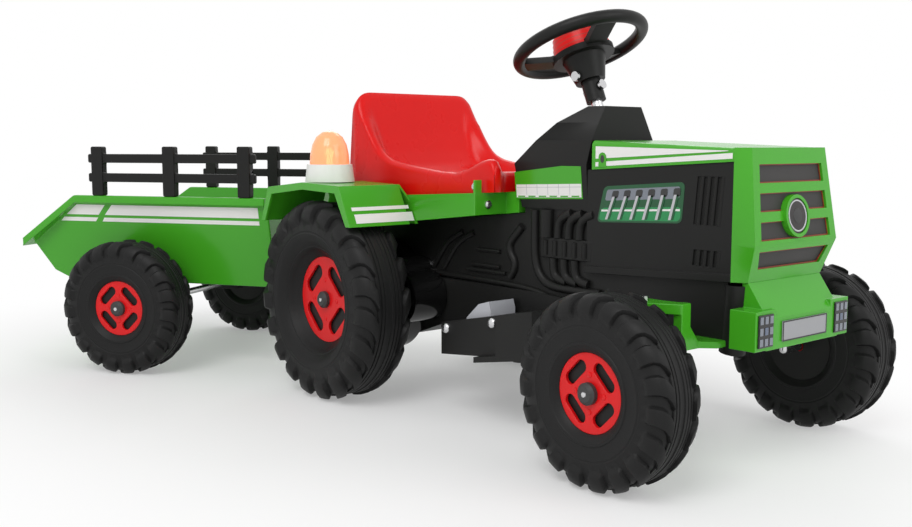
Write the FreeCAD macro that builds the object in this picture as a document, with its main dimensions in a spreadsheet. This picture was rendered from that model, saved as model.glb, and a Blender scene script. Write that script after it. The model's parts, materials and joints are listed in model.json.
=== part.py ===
"""A battery ride-on tractor toy with its trailer, in millimetres.

Tractor pieces are drawn in the tractor's own frame: origin on the ground under the rear axle,
+X forward, +Y to the driver's left, +Z up. Trailer pieces are drawn from the hitch pin.
The whole part then stands on the middle of its footprint, with the trailer swung to one side.
"""

import FreeCAD
import Part
import Sketcher
import math
import os

V = FreeCAD.Vector
doc = FreeCAD.newDocument("ride_on_tractor")
sheet = doc.addObject("Spreadsheet::Sheet", "Sizes")

SIZES = {
    # Fits and cuts
    "fit": 0.06,
    "gap": 0.4,
    "link_gap": 0.45,
    "overrun": 30,
    # Wheels
    "front_radius": 115,
    "front_width": 75,
    "front_rim": 47,
    "front_hub_face": 27,
    "rear_radius": 155,
    "rear_width": 95,
    "rear_rim": 67,
    "rear_hub_face": 15,
    "hub_disc": 5,
    "tyre_wall": 5,
    "hub_tube": 16,
    "axle_radius": 6,
    "cap_radius": 13,
    "cap_depth": 9,
    "axle_reach": 7,
    "wheelbase": 572,
    "front_half_track": 215,
    "rear_half_track": 207,
    "trailer_half_track": 220,
    # Main body shell
    "wall": 4,
    "body_half_width": 81.5,
    "sill_out": 6.5,
    "sill_top": 190,
    "sill_front": 455,
    "body_rear": -118,
    "body_low": 95,
    "body_low_rear": -60,
    "body_low_front": 60,
    "rear_face_low": 120,
    "floor_rear": 130,
    "floor_front": 330,
    "floor_height": 120,
    "belly_front": 470,
    "body_overhang": 68,
    "nose_floor": 166,
    "engine_top": 226,
    "plateau_front": 445,
    "plateau_rear": 300,
    "plateau_height": 307,
    # Rear deck and fenders
    "deck_half_width": 130,
    "fender_slope": 12,
    "deck_step": 262,
    "deck_front_half": 83,
    "deck_front": 289,
    "deck_top_rear": 307,
    "deck_top_front": 328.5,
    "deck_low_rear": 279,
    "deck_low_front": 299,
    "deck_low_break": 108,
    "fender_out": 252,
    "fender_front_low": 113,
    "fender_front_low_height": 275,
    "fender_front_top": 85,
    "fender_front_top_height": 334,
    "fender_crown": -15,
    "fender_crown_height": 337,
    "fender_rear_top": -118,
    "fender_rear_top_height": 327,
    "fender_rear_low": -140,
    "fender_rear_low_height": 272,
    "fender_lip": 11,
    "lug_height": 18,
    "lug_length": 12,
    # Seat
    "seat_half_width": 125,
    "seat_bolster": 34,
    "seat_rear": -78,
    "seat_front": 283,
    "seat_pan_front": 270,
    "seat_wall": 4,
    "seat_height": 152,
    # Hood, side panels and nose
    "hood_half_width": 88,
    "hood_wall": 3,
    "hood_overhang": 76,
    "hood_rear_height": 400,
    "hood_front_height": 391,
    "hood_rear_skirt": 38,
    "hood_front_skirt": 16,
    "hood_round": 7,
    "panel_out": 86,
    "panel_thick": 4,
    "panel_overlap": 9,
    "panel_low_rear": 226,
    "panel_low_front": 236,
    "panel_lip": 9,
    "panel_lip_out": 4,
    "louvre_depth": 2.2,
    "louvre_width": 5,
    "louvre_pitch": 9.6,
    "louvre_lean": 5,
    "tall_louvre_low": 300,
    "tall_louvre_height": 57,
    "short_louvre_low": 251,
    "short_louvre_height": 19,
    "louvre_back": 56,
    "nose_low_height": 236,
    "nose_break_rise": 44,
    "nose_low_reach": 16,
    "nose_break_reach": 30.5,
    "nose_top_reach": 16,
    "nose_low_half": 77,
    "nose_break_half": 86.5,
    "nose_top_half": 77,
    "nose_wall": 4,
    "grille_half_top": 65.5,
    "grille_half_low": 73.5,
    "grille_brow": 19,
    "grille_slot": 21.5,
    "grille_bar": 11.5,
    "chin_slot": 21,
    "chin_sill": 15,
    "grille_plate": 2,
    "emblem_radius": 25,
    "emblem_ring": 4,
    "emblem_rise": 31,
    "emblem_proud": 4,
    # Dash cowl
    "cowl_rear": 284,
    "cowl_length": 146,
    "cowl_undercut": 12,
    "cowl_half": 88,
    "cowl_low_half": 84,
    "cowl_shoulder": 32,
    "cowl_rise": 46,
    "cowl_ledge": 23,
    "cowl_face_half": 63.5,
    "cowl_wall": 3,
    # Steering
    "column_tilt": 22.2,
    "wheel_x": 325,
    "wheel_rise": 133,
    "column_radius": 8,
    "column_foot": 204,
    "wheel_ring": 89,
    "wheel_tube": 9,
    "boss_radius": 44,
    "boss_depth": 9,
    "boss_drop": 16,
    "boss_cup": 5,
    "collar_radius": 21,
    "collar_top_radius": 31,
    "collar_length": 35,
    "neck_radius": 14,
    "neck_length": 30,
    "spoke_width": 30,
    "spoke_depth": 9,
    "spoke_clock": -20,
    "horn_radius": 41,
    "horn_height": 28,
    "horn_step": 1.5,
    "horn_travel": 3,
    "horn_well": 22,
    "horn_switch_radius": 11,
    "horn_switch_room": 2.4,
    "clamp_bolt_radius": 4,
    "clamp_bolt_end": 2,
    "collar_bolt_half": 26.4,
    "clamp_bolt_drop": 28,
    "clamp_bolt_pitch": 19,
    "crank_length": 30,
    "crank_thick": 7,
    "crank_width": 18,
    "link_pin_radius": 4,
    "link_pin_length": 16,
    "crank_pin_length": 19,
    # Front axle, knuckles and tie rod
    "kingpin_half": 150,
    "ear_radius": 16,
    "beam_thick": 8,
    "ear_thick": 12,
    "ear_top": 213,
    "beam_web": 12,
    "beam_web_ahead": 52,
    "beam_web_out": 145,
    "beam_web_in": 112,
    "beam_web_top": 128,
    "kingpin_top": 5,
    "arm_length": 40,
    "arm_width": 16,
    "arm_thick": 6,
    "arm_height": 178,
    "tie_thick": 4,
    "tie_width": 14,
    "tie_end": 26,
    "tie_slot": 10.2,
    "window_room": 22,
    # Bumper, lamps and plate
    "bumper_low": 160,
    "bumper_reach": 51,
    "bumper_lip": 8,
    "bumper_slope_low": 197,
    "bumper_top_half": 76,
    "bumper_wall": 4,
    "lamp_out": 99,
    "lamp_in": 58,
    "lamp_low": 161,
    "lamp_top": 207,
    "lamp_margin": 4,
    "lamp_plate": 2,
    "plate_half": 47,
    "plate_low": 168,
    "plate_height": 24,
    "plate_thick": 2,
    # Footrests and pedal
    "footrest_rear": 203,
    "footrest_front": 400,
    "footrest_out": 165,
    "footrest_step": 10,
    "footrest_rear_top": 138.5,
    "footrest_front_top": 179,
    "footrest_rear_low": 92,
    "footrest_mid": 285,
    "footrest_mid_low": 101,
    "footrest_front_low": 122,
    "footrest_base": 8,
    "footrest_knee": 330,
    "pedal_rear": 243,
    "pedal_front": 294,
    "pedal_width": 47,
    "pedal_out": 141,
    "pedal_rear_height": 149,
    "pedal_front_height": 177,
    "pedal_low": 150,
    "pedal_drop": 12,
    "pedal_room": 4,
    "pedal_pivot_radius": 2,
    "pedal_pivot_reach": 4,
    "switch_height": 32,
    "switch_length": 20,
    "switch_width": 24,
    "screw_radius": 6,
    "screw_head": 4,
    # Drive
    "gear_module": 2.5,
    "gear_face": 14,
    "idler_face": 10,
    "drive_teeth": 64,
    "idler_small_teeth": 14,
    "idler_big_teeth": 24,
    "pinion_teeth": 10,
    "idler_angle": 4,
    "pinion_angle": 118,
    "gearbox_in": 90,
    "gearbox_out": 150,
    "gearbox_wall": 3,
    "gearbox_room": 4,
    "gear_side_room": 3,
    "drive_sleeve": 14,
    "idler_shaft": 4,
    "pinion_shaft": 2,
    "motor_radius": 18,
    "motor_length": 58,
    "motor_bore": 12,
    "battery_length": 100,
    "battery_width": 70,
    "battery_height": 98,
    "battery_rear": 160,
    "terminal_radius": 4,
    "terminal_height": 6,
    # Beacon
    "beacon_x": -16,
    "beacon_y": 200,
    "beacon_radius": 38.5,
    "beacon_top_radius": 35,
    "beacon_height": 27,
    "dome_radius": 31,
    "dome_height": 52,
    "dome_wall": 2,
    "bulb_radius": 7,
    "bulb_height": 24,
    # Hitch and trailer
    "hitch_behind": 183,
    "trailer_yaw": 31.9,
    "hitch_plate": 7,
    "hitch_half": 26,
    "hitch_pin_radius": 7,
    "hitch_pin_head": 12,
    "hitch_pin_head_height": 6,
    "hitch_pin_tail": 4,
    "drawbar_thick": 12,
    "drawbar_top": 150,
    "drawbar_half": 28,
    "drawbar_eye": 22,
    "drawbar_tail": 60,
    "tub_front": 115,
    "tub_rear": 494,
    "tub_rim_height": 305,
    "tub_half": 186,
    "tub_low_half": 156,
    "tub_rim_half": 194,
    "tub_rim": 14,
    "tub_tip": 609,
    "tub_tip_height": 225,
    "tub_back": 568,
    "tub_back_height": 164.5,
    "tub_heel": 536,
    "tub_wall": 4,
    "trailer_axle_behind": 369,
    "axle_block": 26,
    "axle_block_half": 120,
    "axle_block_width": 24,
    "fence_height": 86,
    "post_width": 23,
    "post_thick": 14,
    "post_first": 152,
    "post_pitch": 145,
    "post_inset": 6,
    "rail_height": 15.5,
    "rail_low": 24,
    "rail_high": 57.5,
    "rail_thick": 8,
    "rail_over": 20,
}


class Dim:
    """A length, angle or count with its number and its expression in the sheet."""

    def __init__(self, text, number):
        self.text = text
        self.number = number

    def __add__(self, other):
        other = as_dim(other)
        return Dim(f"({self.text} + {other.text})", self.number + other.number)

    def __sub__(self, other):
        other = as_dim(other)
        return Dim(f"({self.text} - {other.text})", self.number - other.number)

    def __mul__(self, other):
        other = as_dim(other)
        return Dim(f"({self.text} * {other.text})", self.number * other.number)

    def __truediv__(self, other):
        other = as_dim(other)
        return Dim(f"({self.text} / {other.text})", self.number / other.number)

    def __neg__(self):
        return Dim(f"(0 - {self.text})", -self.number)

    def __radd__(self, other):
        return as_dim(other) + self

    def __rsub__(self, other):
        return as_dim(other) - self

    __rmul__ = __mul__


def as_dim(value):
    """Give a plain number the same form as a sheet size."""
    if isinstance(value, Dim):
        return value
    return Dim(f"({value})", value)


def cosine(angle):
    """Cosine of an angle in degrees."""
    return Dim(f"cos({angle.text})", math.cos(math.radians(angle.number)))


def sine(angle):
    """Sine of an angle in degrees."""
    return Dim(f"sin({angle.text})", math.sin(math.radians(angle.number)))


class Sizes:
    """The sheet's sizes by name."""


def fill_sheet():
    """Write every driving dimension into the sheet and give it its alias."""
    sizes = Sizes()
    for row, (alias, value) in enumerate(SIZES.items(), start=1):
        sheet.set(f"A{row}", alias)
        sheet.set(f"B{row}", str(value))
        sheet.setAlias(f"B{row}", alias)
    doc.recompute()
    for alias in SIZES:
        setattr(sizes, alias, Dim(f"Sizes.{alias}", float(sheet.get(alias))))
    return sizes


d = fill_sheet()
ZERO = as_dim(0)
PARTS = []

# Places that several pieces share
body_front = d.wheelbase + d.body_overhang
hood_front = d.wheelbase + d.hood_overhang
hood_rear = d.cowl_rear + d.cowl_length
panel_rear = hood_rear - d.panel_overlap
nose_low_front = hood_front + d.nose_low_reach
nose_break_front = hood_front + d.nose_break_reach
nose_top_front = hood_front + d.nose_top_reach
nose_break_height = d.nose_low_height + d.nose_break_rise
bumper_front = body_front + d.bumper_reach
block_rear = nose_low_front - d.bumper_lip
wheel_height = d.hood_rear_height + d.wheel_rise
column_reach = (wheel_height - d.column_foot) / cosine(d.column_tilt)
column_length = column_reach - d.horn_well - d.gap
deck_slope = (d.deck_top_front - d.deck_top_rear) / (d.deck_front - d.body_rear)
tub_floor = d.drawbar_top
tie_low = d.arm_height + d.arm_thick + d.link_gap
hitch_x = -d.hitch_behind

# The footprint's middle: bumper plate to the far corner of the trailer's lip, and left tyre to near corner
tail_x = hitch_x - d.tub_tip * cosine(d.trailer_yaw) - d.tub_rim_half * sine(d.trailer_yaw)
tail_y = -d.tub_tip * sine(d.trailer_yaw) - d.tub_rim_half * cosine(d.trailer_yaw)
left_y = d.rear_half_track + d.rear_width / 2
origin_x = (bumper_front + d.plate_thick + tail_x) / 2
origin_y = (left_y + tail_y) / 2


# Drawing helpers


def bind(obj, **sizes):
    """Tie an object's properties to the sheet."""
    for prop, size in sizes.items():
        obj.setExpression(prop, as_dim(size).text)


def set_base(obj, x, y, z):
    """Tie an object's position to the sheet."""
    for axis, size in zip("xyz", (x, y, z)):
        obj.setExpression(f"Placement.Base.{axis}", as_dim(size).text)


def turn(obj, axis, angle):
    """Turn an object about an axis through its own base, by a sheet angle."""
    angle = as_dim(angle)
    obj.Placement = FreeCAD.Placement(obj.Placement.Base, FreeCAD.Rotation(axis, angle.number))
    if angle.number < 0:
        obj.Placement = FreeCAD.Placement(obj.Placement.Base, FreeCAD.Rotation(-axis, -angle.number))
        angle = -angle
    obj.setExpression("Placement.Rotation.Angle", angle.text)


def name_piece(label, obj):
    """Give a finished piece its own name, which no step on the way to it keeps."""
    for other in doc.getObjectsByLabel(label):
        other.Label = f"{label}_blank"
    obj.Label = label
    PARTS.append(obj)


def keep(label, obj, x=ZERO, y=ZERO, z=ZERO):
    """Name a finished tractor piece and put it in the part's frame."""
    name_piece(label, obj)
    set_base(obj, x - origin_x, y - origin_y, z)


def keep_trailer(label, obj, x=ZERO, y=ZERO, z=ZERO):
    """Name a finished trailer piece and swing it about the hitch pin."""
    name_piece(label, obj)
    set_base(
        obj,
        hitch_x - origin_x + x * cosine(d.trailer_yaw) - y * sine(d.trailer_yaw),
        x * sine(d.trailer_yaw) + y * cosine(d.trailer_yaw) - origin_y,
        z,
    )
    turn(obj, V(0, 0, 1), d.trailer_yaw)


def keep_steering(label, obj):
    """Name a piece drawn about the column's axis, and put it up the tilted column."""
    name_piece(label, obj)
    set_base(obj, d.wheel_x - origin_x, -origin_y, wheel_height)
    turn(obj, V(0, 1, 0), -d.column_tilt)


def outline(body, plane, points, offset):
    """A closed sketch through the points, each tied to the sheet."""
    sketch = body.newObject("Sketcher::SketchObject", f"{body.Name}_outline")
    origin_plane = next(f for f in body.Origin.OriginFeatures if f.Role == f"{plane}_Plane")
    sketch.AttachmentSupport = [(origin_plane, "")]
    sketch.MapMode = "FlatFace"
    sketch.setExpression("AttachmentOffset.Base.z", offset.text)
    points = [(as_dim(a), as_dim(b)) for a, b in points]
    count = len(points)
    corners = [V(a.number, b.number, 0) for a, b in points]
    for i in range(count):
        sketch.addGeometry(Part.LineSegment(corners[i], corners[(i + 1) % count]))
    for i in range(count):
        sketch.addConstraint(Sketcher.Constraint("Coincident", i, 2, (i + 1) % count, 1))
    for i, (a, b) in enumerate(points):
        for kind, size in (("DistanceX", a), ("DistanceY", b)):
            row = sketch.addConstraint(Sketcher.Constraint(kind, -1, 1, i, 1, size.number))
            sketch.setExpression(f"Constraints[{row}]", size.text)
    return sketch


def ordered(one, other):
    """Two places, lowest first."""
    if as_dim(one).number <= as_dim(other).number:
        return one, other
    return other, one


def span(plane, low, high):
    """Sketch offset and depth for a slab between two places along the plane's own axis."""
    low = as_dim(low)
    high = as_dim(high)
    if plane == "XZ":
        return -high, high - low
    return low, high - low


def pad(body, plane, points, low, high):
    """Add a slab of the outline, from low to high across the plane."""
    offset, depth = span(plane, low, high)
    feature = body.newObject("PartDesign::Pad", f"{body.Name}_pad")
    feature.Profile = outline(body, plane, points, offset)
    bind(feature, Length=depth)
    return feature


def pocket(body, plane, points, low, high):
    """Cut a slab of the outline, from low to high across the plane."""
    offset, depth = span(plane, low, high)
    feature = body.newObject("PartDesign::Pocket", f"{body.Name}_pocket")
    feature.Profile = outline(body, plane, points, offset)
    feature.Reversed = True
    bind(feature, Length=depth)
    doc.recompute()
    return feature


def new_body(name):
    return doc.addObject("PartDesign::Body", name)


def prism(name, plane, points, low, high):
    """A piece made of one slab."""
    body = new_body(name)
    pad(body, plane, points, low, high)
    return body


def spun(name, points):
    """A turned piece: points are (radius, place along Y), turned about Y."""
    body = new_body(name)
    feature = body.newObject("PartDesign::Revolution", f"{name}_turned")
    sketch = outline(body, "XY", points, ZERO)
    feature.Profile = sketch
    feature.ReferenceAxis = (sketch, ["V_Axis"])
    feature.Angle = 360
    return body


def loft(body, kind, sections):
    """A straight-sided loft through (height, outline) sections."""
    sketches = [outline(body, "XY", points, as_dim(height)) for height, points in sections]
    feature = body.newObject(f"PartDesign::{kind}Loft", f"{body.Name}_loft")
    feature.Profile = sketches[0]
    feature.Sections = sketches[1:]
    feature.Ruled = True
    doc.recompute()
    return feature


def round_edges(body, radius, chosen):
    """Fillet the edges of a body's last feature that the test picks."""
    doc.recompute()
    base = body.Tip
    names = [f"Edge{i}" for i, edge in enumerate(base.Shape.Edges, start=1) if chosen(edge)]
    feature = body.newObject("PartDesign::Fillet", f"{body.Name}_round")
    feature.Base = (base, names)
    bind(feature, Radius=radius)
    doc.recompute()
    return feature


def box(name, x, y, z):
    """A box between three (low, high) pairs."""
    obj = doc.addObject("Part::Box", name)
    bind(obj, Length=x[1] - x[0], Width=y[1] - y[0], Height=z[1] - z[0])
    set_base(obj, x[0], y[0], z[0])
    return obj


def rod(name, radius, start, length, axis):
    """A cylinder from a start point along X, Y or Z."""
    obj = doc.addObject("Part::Cylinder", name)
    bind(obj, Radius=radius, Height=length)
    set_base(obj, *start)
    if axis == "X":
        turn(obj, V(0, 1, 0), as_dim(90))
    if axis == "Y":
        turn(obj, V(1, 0, 0), as_dim(-90))
    return obj


def cut(name, base, *tools):
    """A piece with tools taken out of it."""
    obj = doc.addObject("Part::Cut", name)
    obj.Base = base
    obj.Tool = tools[0] if len(tools) == 1 else fuse(f"{name}_tools", *tools)
    return obj


def fuse(name, *shapes):
    obj = doc.addObject("Part::MultiFuse", name)
    obj.Shapes = list(shapes)
    return obj


def common(name, *shapes):
    obj = doc.addObject("Part::MultiCommon", name)
    obj.Shapes = list(shapes)
    return obj


def group(name, *shapes):
    """Separate solids kept together as one piece."""
    obj = doc.addObject("Part::Compound", name)
    obj.Links = list(shapes)
    return obj


def mirror(points):
    """Complete a half outline, given as (place, half width), to both sides."""
    return [(a, -b) for a, b in points] + [(a, b) for a, b in reversed(points)]


# Wheels

BEAD_SHARE = 0.09
TYRE_SHARES = [
    (0.32, 0.46),
    (0.58, 0.5),
    (0.8, 0.475),
    (0.93, 0.4),
    (1, 0.24),
]
SLOT_RADIUS_SHARE = 0.64
SLOT_LENGTH_SHARE = 0.48
SLOT_WIDTH_SHARE = 0.16
SLOT_COUNT = 4


def tyre_half(depth, width, rim, face):
    """One side of a tyre's section, from the bead at the hub's face to the tread."""
    bead = [(rim, face), (rim + depth * BEAD_SHARE, face + width * BEAD_SHARE)]
    return bead + [(rim + depth * r, width * a) for r, a in TYRE_SHARES]


def tyre(name, radius, width, rim, face):
    """A blow-moulded tyre, open inside towards the hub."""
    wall = d.tyre_wall
    outer = tyre_half(radius - rim, width, rim, face)
    inner = tyre_half(radius - rim - wall, width - wall * 2, rim, face - wall)
    near = [(r, -y) for r, y in outer]
    inner_near = [(r, -y) for r, y in inner]
    return spun(name, near + outer[::-1] + inner + inner_near[::-1])


def hub(name, width, rim, face):
    """Two discs on a tube, with four oval slots in the discs."""
    edge = rim - d.fit
    bore = d.axle_radius + d.fit
    spool = spun(
        name,
        [
            (bore, -face),
            (edge, -face),
            (edge, d.hub_disc - face),
            (d.hub_tube, d.hub_disc - face),
            (d.hub_tube, face - d.hub_disc),
            (edge, face - d.hub_disc),
            (edge, face),
            (bore, face),
        ],
    )
    tools = []
    reach = rim * SLOT_RADIUS_SHARE
    half = rim * SLOT_LENGTH_SHARE / 2
    breadth = rim * SLOT_WIDTH_SHARE
    for i in range(SLOT_COUNT):
        angle = math.radians(45 + 360 / SLOT_COUNT * i)
        ends = []
        for side in (-1, 1):
            x = reach * math.cos(angle) - half * (side * math.sin(angle))
            z = reach * math.sin(angle) + half * (side * math.cos(angle))
            ends.append((x, z))
            tools.append(rod(f"{name}_slot_end", breadth, (x, -width / 2, z), width, "Y"))
        wide_x = breadth * math.cos(angle)
        wide_z = breadth * math.sin(angle)
        (ax, az), (bx, bz) = ends
        corners = [(ax - wide_x, az - wide_z), (ax + wide_x, az + wide_z)]
        corners += [(bx + wide_x, bz + wide_z), (bx - wide_x, bz - wide_z)]
        tools.append(prism(f"{name}_slot", "XZ", corners, -width / 2, width / 2))
    return cut(f"{name}_slotted", spool, *tools)


def axle_cap(name, radius, depth):
    """A push-on cap with a chamfered rim and a blind bore for the axle's end."""
    bore = d.axle_radius + d.fit
    return spun(
        name,
        [(bore, ZERO), (radius, ZERO), (radius, depth * 0.6), (radius * 0.7, depth),
         (ZERO, depth), (ZERO, depth * 0.75), (bore, depth * 0.75)],
    )


def placed_cap(name, x, y, z, side):
    """A cap on the outer end of an axle that runs along Y."""
    cap = axle_cap(name, d.cap_radius, d.cap_depth)
    set_base(cap, x, y, z)
    turn(cap, V(0, 0, 1), as_dim(180 if side < 0 else 0))
    return cap


def front_and_rear_wheels():
    """Two pieces for each of the tractor's four wheels."""
    for word, side in (("right", -1), ("left", 1)):
        rubber = tyre(f"front_tyre_{word}", d.front_radius, d.front_width, d.front_rim, d.front_hub_face)
        keep(f"front_tyre_{word}", rubber, d.wheelbase, d.front_half_track * side, d.front_radius)
        keep(f"front_hub_{word}", hub(f"front_hub_{word}", d.front_width, d.front_rim, d.front_hub_face),
             d.wheelbase, d.front_half_track * side, d.front_radius)
        rubber = tyre(f"rear_tyre_{word}", d.rear_radius, d.rear_width, d.rear_rim, d.rear_hub_face)
        keep(f"rear_tyre_{word}", rubber, ZERO, d.rear_half_track * side, d.rear_radius)
        keep(f"rear_hub_{word}", hub(f"rear_hub_{word}", d.rear_width, d.rear_rim, d.rear_hub_face),
             ZERO, d.rear_half_track * side, d.rear_radius)


def rear_axle():
    """A plain steel rod right through, with a cap at each end."""
    half = d.rear_half_track + d.rear_hub_face + d.axle_reach
    keep("rear_axle", rod("rear_axle", d.axle_radius, (ZERO, -half, ZERO), half * 2, "Y"),
         ZERO, -half, d.rear_radius)
    caps = []
    for side in (-1, 1):
        caps.append(placed_cap("rear_cap", ZERO, (half - d.cap_depth * 0.75) * side, d.rear_radius, side))
    keep("rear_axle_caps", group("rear_axle_caps", *caps))


# Main body shell


def body_outline(inset):
    """Side view of the main shell inside its wall, from the rear top round to the dash plateau."""
    return [
        (d.body_rear + inset, d.deck_low_rear - inset),
        (d.body_rear + inset, d.rear_face_low + inset),
        (d.body_low_rear, d.body_low + inset),
        (d.body_low_front, d.body_low + inset),
        (d.floor_rear, d.floor_height + inset),
        (d.floor_front, d.floor_height + inset),
        (d.belly_front, d.nose_floor + inset),
        (body_front - inset, d.nose_floor + inset),
        (body_front - inset, d.engine_top + (d.panel_low_front - d.panel_low_rear) * 0.92 - inset),
        (d.plateau_front - inset, d.engine_top - inset),
        (d.plateau_front - inset, d.plateau_height - inset),
        (d.plateau_rear + inset, d.plateau_height - inset),
        (d.plateau_rear + inset, d.deck_low_front - inset),
        (d.deck_low_break, d.deck_low_rear - inset),
    ]


def sill_outline():
    """The wider lower band of the shell's side."""
    return [
        (d.body_rear, d.sill_top),
        (d.body_rear, d.rear_face_low),
        (d.body_low_rear, d.body_low),
        (d.body_low_front, d.body_low),
        (d.floor_rear, d.floor_height),
        (d.floor_front, d.floor_height),
        (d.sill_front, d.nose_floor),
        (d.plateau_front, d.sill_top - d.sill_out),
        (d.floor_front, d.sill_top),
    ]


def column_bore(name, radius):
    """A long cylinder on the steering column's axis, for holes that the column passes."""
    tool = doc.addObject("Part::Cylinder", name)
    reach = column_reach + d.overrun
    bind(tool, Radius=radius, Height=reach)
    drop = reach * cosine(d.column_tilt)
    set_base(tool, d.wheel_x + reach * sine(d.column_tilt), ZERO, wheel_height - drop)
    turn(tool, V(0, 1, 0), -d.column_tilt)
    return tool


def body_shells():
    """Right and left half shells that meet on the middle plane."""
    for word, side in (("right", -1), ("left", 1)):
        name = f"body_shell_{word}"
        shell = new_body(name)
        inner, outer = ordered(ZERO, d.body_half_width * side)
        pad(shell, "XZ", body_outline(ZERO), inner, outer)
        inner, outer = ordered(ZERO, (d.body_half_width - d.wall) * side)
        pocket(shell, "XZ", body_outline(d.wall), inner, outer)
        skin = d.body_half_width * side
        low, high = ordered(skin, skin + d.sill_out * side)
        sill = prism(f"{name}_sill", "XZ", sill_outline(), low, high)
        tie_x = d.wheelbase - d.arm_length
        reach = d.body_half_width + d.overrun
        tools = [
            rod(f"{name}_axle_bore", d.axle_radius + d.fit, (ZERO, -reach, d.rear_radius), reach * 2, "Y"),
            column_bore(f"{name}_column_bore", d.column_radius + d.fit),
            box(f"{name}_tie_window", (tie_x - d.window_room, tie_x + d.window_room), (-reach, reach),
                (tie_low - d.tie_thick, tie_low + d.tie_thick * 2)),
        ]
        if side < 0:
            x, z = pinion_place()
            tools.append(rod(f"{name}_motor_bore", d.motor_radius + d.gap, (x, -reach, z), reach, "Y"))
        keep(name, cut(f"{name}_cut", fuse(f"{name}_walls", shell, sill), *tools))


# Rear deck with fenders, and the seat


def deck_height(x):
    """Height of the deck's top at a place along the tractor."""
    return d.deck_top_rear + (x - d.body_rear) * deck_slope


def fender_line():
    """Outer line of a fender, from the rear hem over the top to the front hem."""
    return [
        (d.fender_rear_low, d.fender_rear_low_height),
        (d.fender_rear_top, d.fender_rear_top_height),
        (d.fender_crown, d.fender_crown_height),
        (d.fender_front_top, d.fender_front_top_height),
        (d.fender_front_low, d.fender_front_low_height),
    ]


def fender_band(depth):
    """A band of even depth inside the fender's line."""
    line = fender_line()
    inside = [
        (line[0][0] + depth, line[0][1]),
        (line[1][0] + depth, line[1][1] - depth),
        (line[2][0], line[2][1] - depth),
        (line[3][0] - depth, line[3][1] - depth),
        (line[4][0] - depth, line[4][1]),
    ]
    return line + inside[::-1]


def fender_inner_wall(side):
    """The fender's inner wall: upright at the deck's edge, then sloping out to the fender's top."""
    inner = d.deck_half_width - d.wall
    top_in = d.deck_half_width + d.fender_slope
    reach = d.overrun + d.deck_half_width
    section = [
        (inner * side, d.fender_rear_low_height),
        (d.deck_half_width * side, d.fender_rear_low_height),
        (d.deck_half_width * side, d.deck_top_rear),
        ((top_in + d.wall) * side, d.fender_crown_height),
        (top_in * side, d.fender_crown_height),
        (inner * side, d.deck_top_rear),
    ]
    low, high = ordered(inner * side, (top_in + d.wall) * side)
    return common("fender_inner_wall", prism("fender_wall_side", "XZ", fender_line(), low, high),
                  prism("fender_wall_section", "YZ", section, -reach, reach))


def fender_deck():
    """The seat deck with a skirt, and a fender over each rear wheel, as one moulding."""
    low_step = d.deck_low_rear + (d.deck_step - d.deck_low_break) * (
        (d.deck_low_front - d.deck_low_rear) / (d.deck_front - d.deck_low_break)
    )
    wide = [
        (d.body_rear, d.deck_low_rear),
        (d.deck_low_break, d.deck_low_rear),
        (d.deck_step, low_step),
        (d.deck_step, deck_height(d.deck_step)),
        (d.body_rear, d.deck_top_rear),
    ]
    narrow = [
        (d.deck_step - d.overrun, low_step),
        (d.deck_step, low_step),
        (d.deck_front, d.deck_low_front),
        (d.deck_front, d.deck_top_front),
        (d.deck_step - d.overrun, deck_height(d.deck_step - d.overrun)),
    ]
    inside = [
        (d.body_rear + d.wall, d.deck_low_rear - d.overrun),
        (d.deck_step - d.wall, d.deck_low_rear - d.overrun),
        (d.deck_step - d.wall, deck_height(d.deck_step) - d.wall),
        (d.body_rear + d.wall, d.deck_top_rear - d.wall),
    ]
    front_inside = [
        (d.deck_step - d.overrun, d.deck_low_rear - d.overrun),
        (d.deck_front - d.wall, d.deck_low_rear - d.overrun),
        (d.deck_front - d.wall, d.deck_top_front - d.wall * 1.5),
        (d.deck_step - d.overrun, deck_height(d.deck_step - d.overrun) - d.wall * 1.5),
    ]
    half = d.deck_half_width
    front_half = d.deck_front_half
    walls = [
        prism("deck_wide", "XZ", wide, -half, half),
        prism("deck_narrow", "XZ", narrow, -front_half, front_half),
    ]
    for side in (-1, 1):
        for word, start, end, depth in (
            ("arch", half + d.fender_slope, d.fender_out, d.wall),
            ("lip", d.fender_out - d.wall, d.fender_out, d.fender_lip),
        ):
            low, high = ordered(start * side, end * side)
            walls.append(prism(f"fender_{word}", "XZ", fender_band(depth), low, high))
        walls.append(fender_inner_wall(side))
        low, high = ordered(half * side, (half + d.lug_length) * side)
        walls.append(box("deck_lug", (d.deck_step - d.wall, d.deck_step), (low, high),
                         (low_step, deck_height(d.deck_step) + d.lug_height)))
    deck = cut(
        "deck_hollow",
        fuse("deck_walls", *walls),
        prism("deck_inside", "XZ", inside, d.wall - half, half - d.wall),
        prism("deck_front_inside", "XZ", front_inside, d.wall - front_half, front_half - d.wall),
    )
    keep("fender_deck", deck)


BOLSTER_SHARES = [
    (0.06, 1),
    (0.1, 0.98),
    (0.16, 0.88),
    (0.19, 0.64),
    (0.24, 0.39),
    (0.3, 0.295),
    (0.39, 0.255),
    (0.52, 0.215),
    (0.66, 0.185),
    (0.75, 0.18),
    (0.82, 0.21),
    (0.91, 0.295),
    (0.96, 0.31),
    (0.99, 0.29),
    (1, 0.215),
]
PAN_SHARES = [
    (0.06, 0.97),
    (0.09, 0.95),
    (0.15, 0.6),
    (0.22, 0.32),
    (0.32, 0.19),
    (0.5, 0.14),
    (0.75, 0.16),
    (0.92, 0.2),
    (1, 0.16),
]


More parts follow.
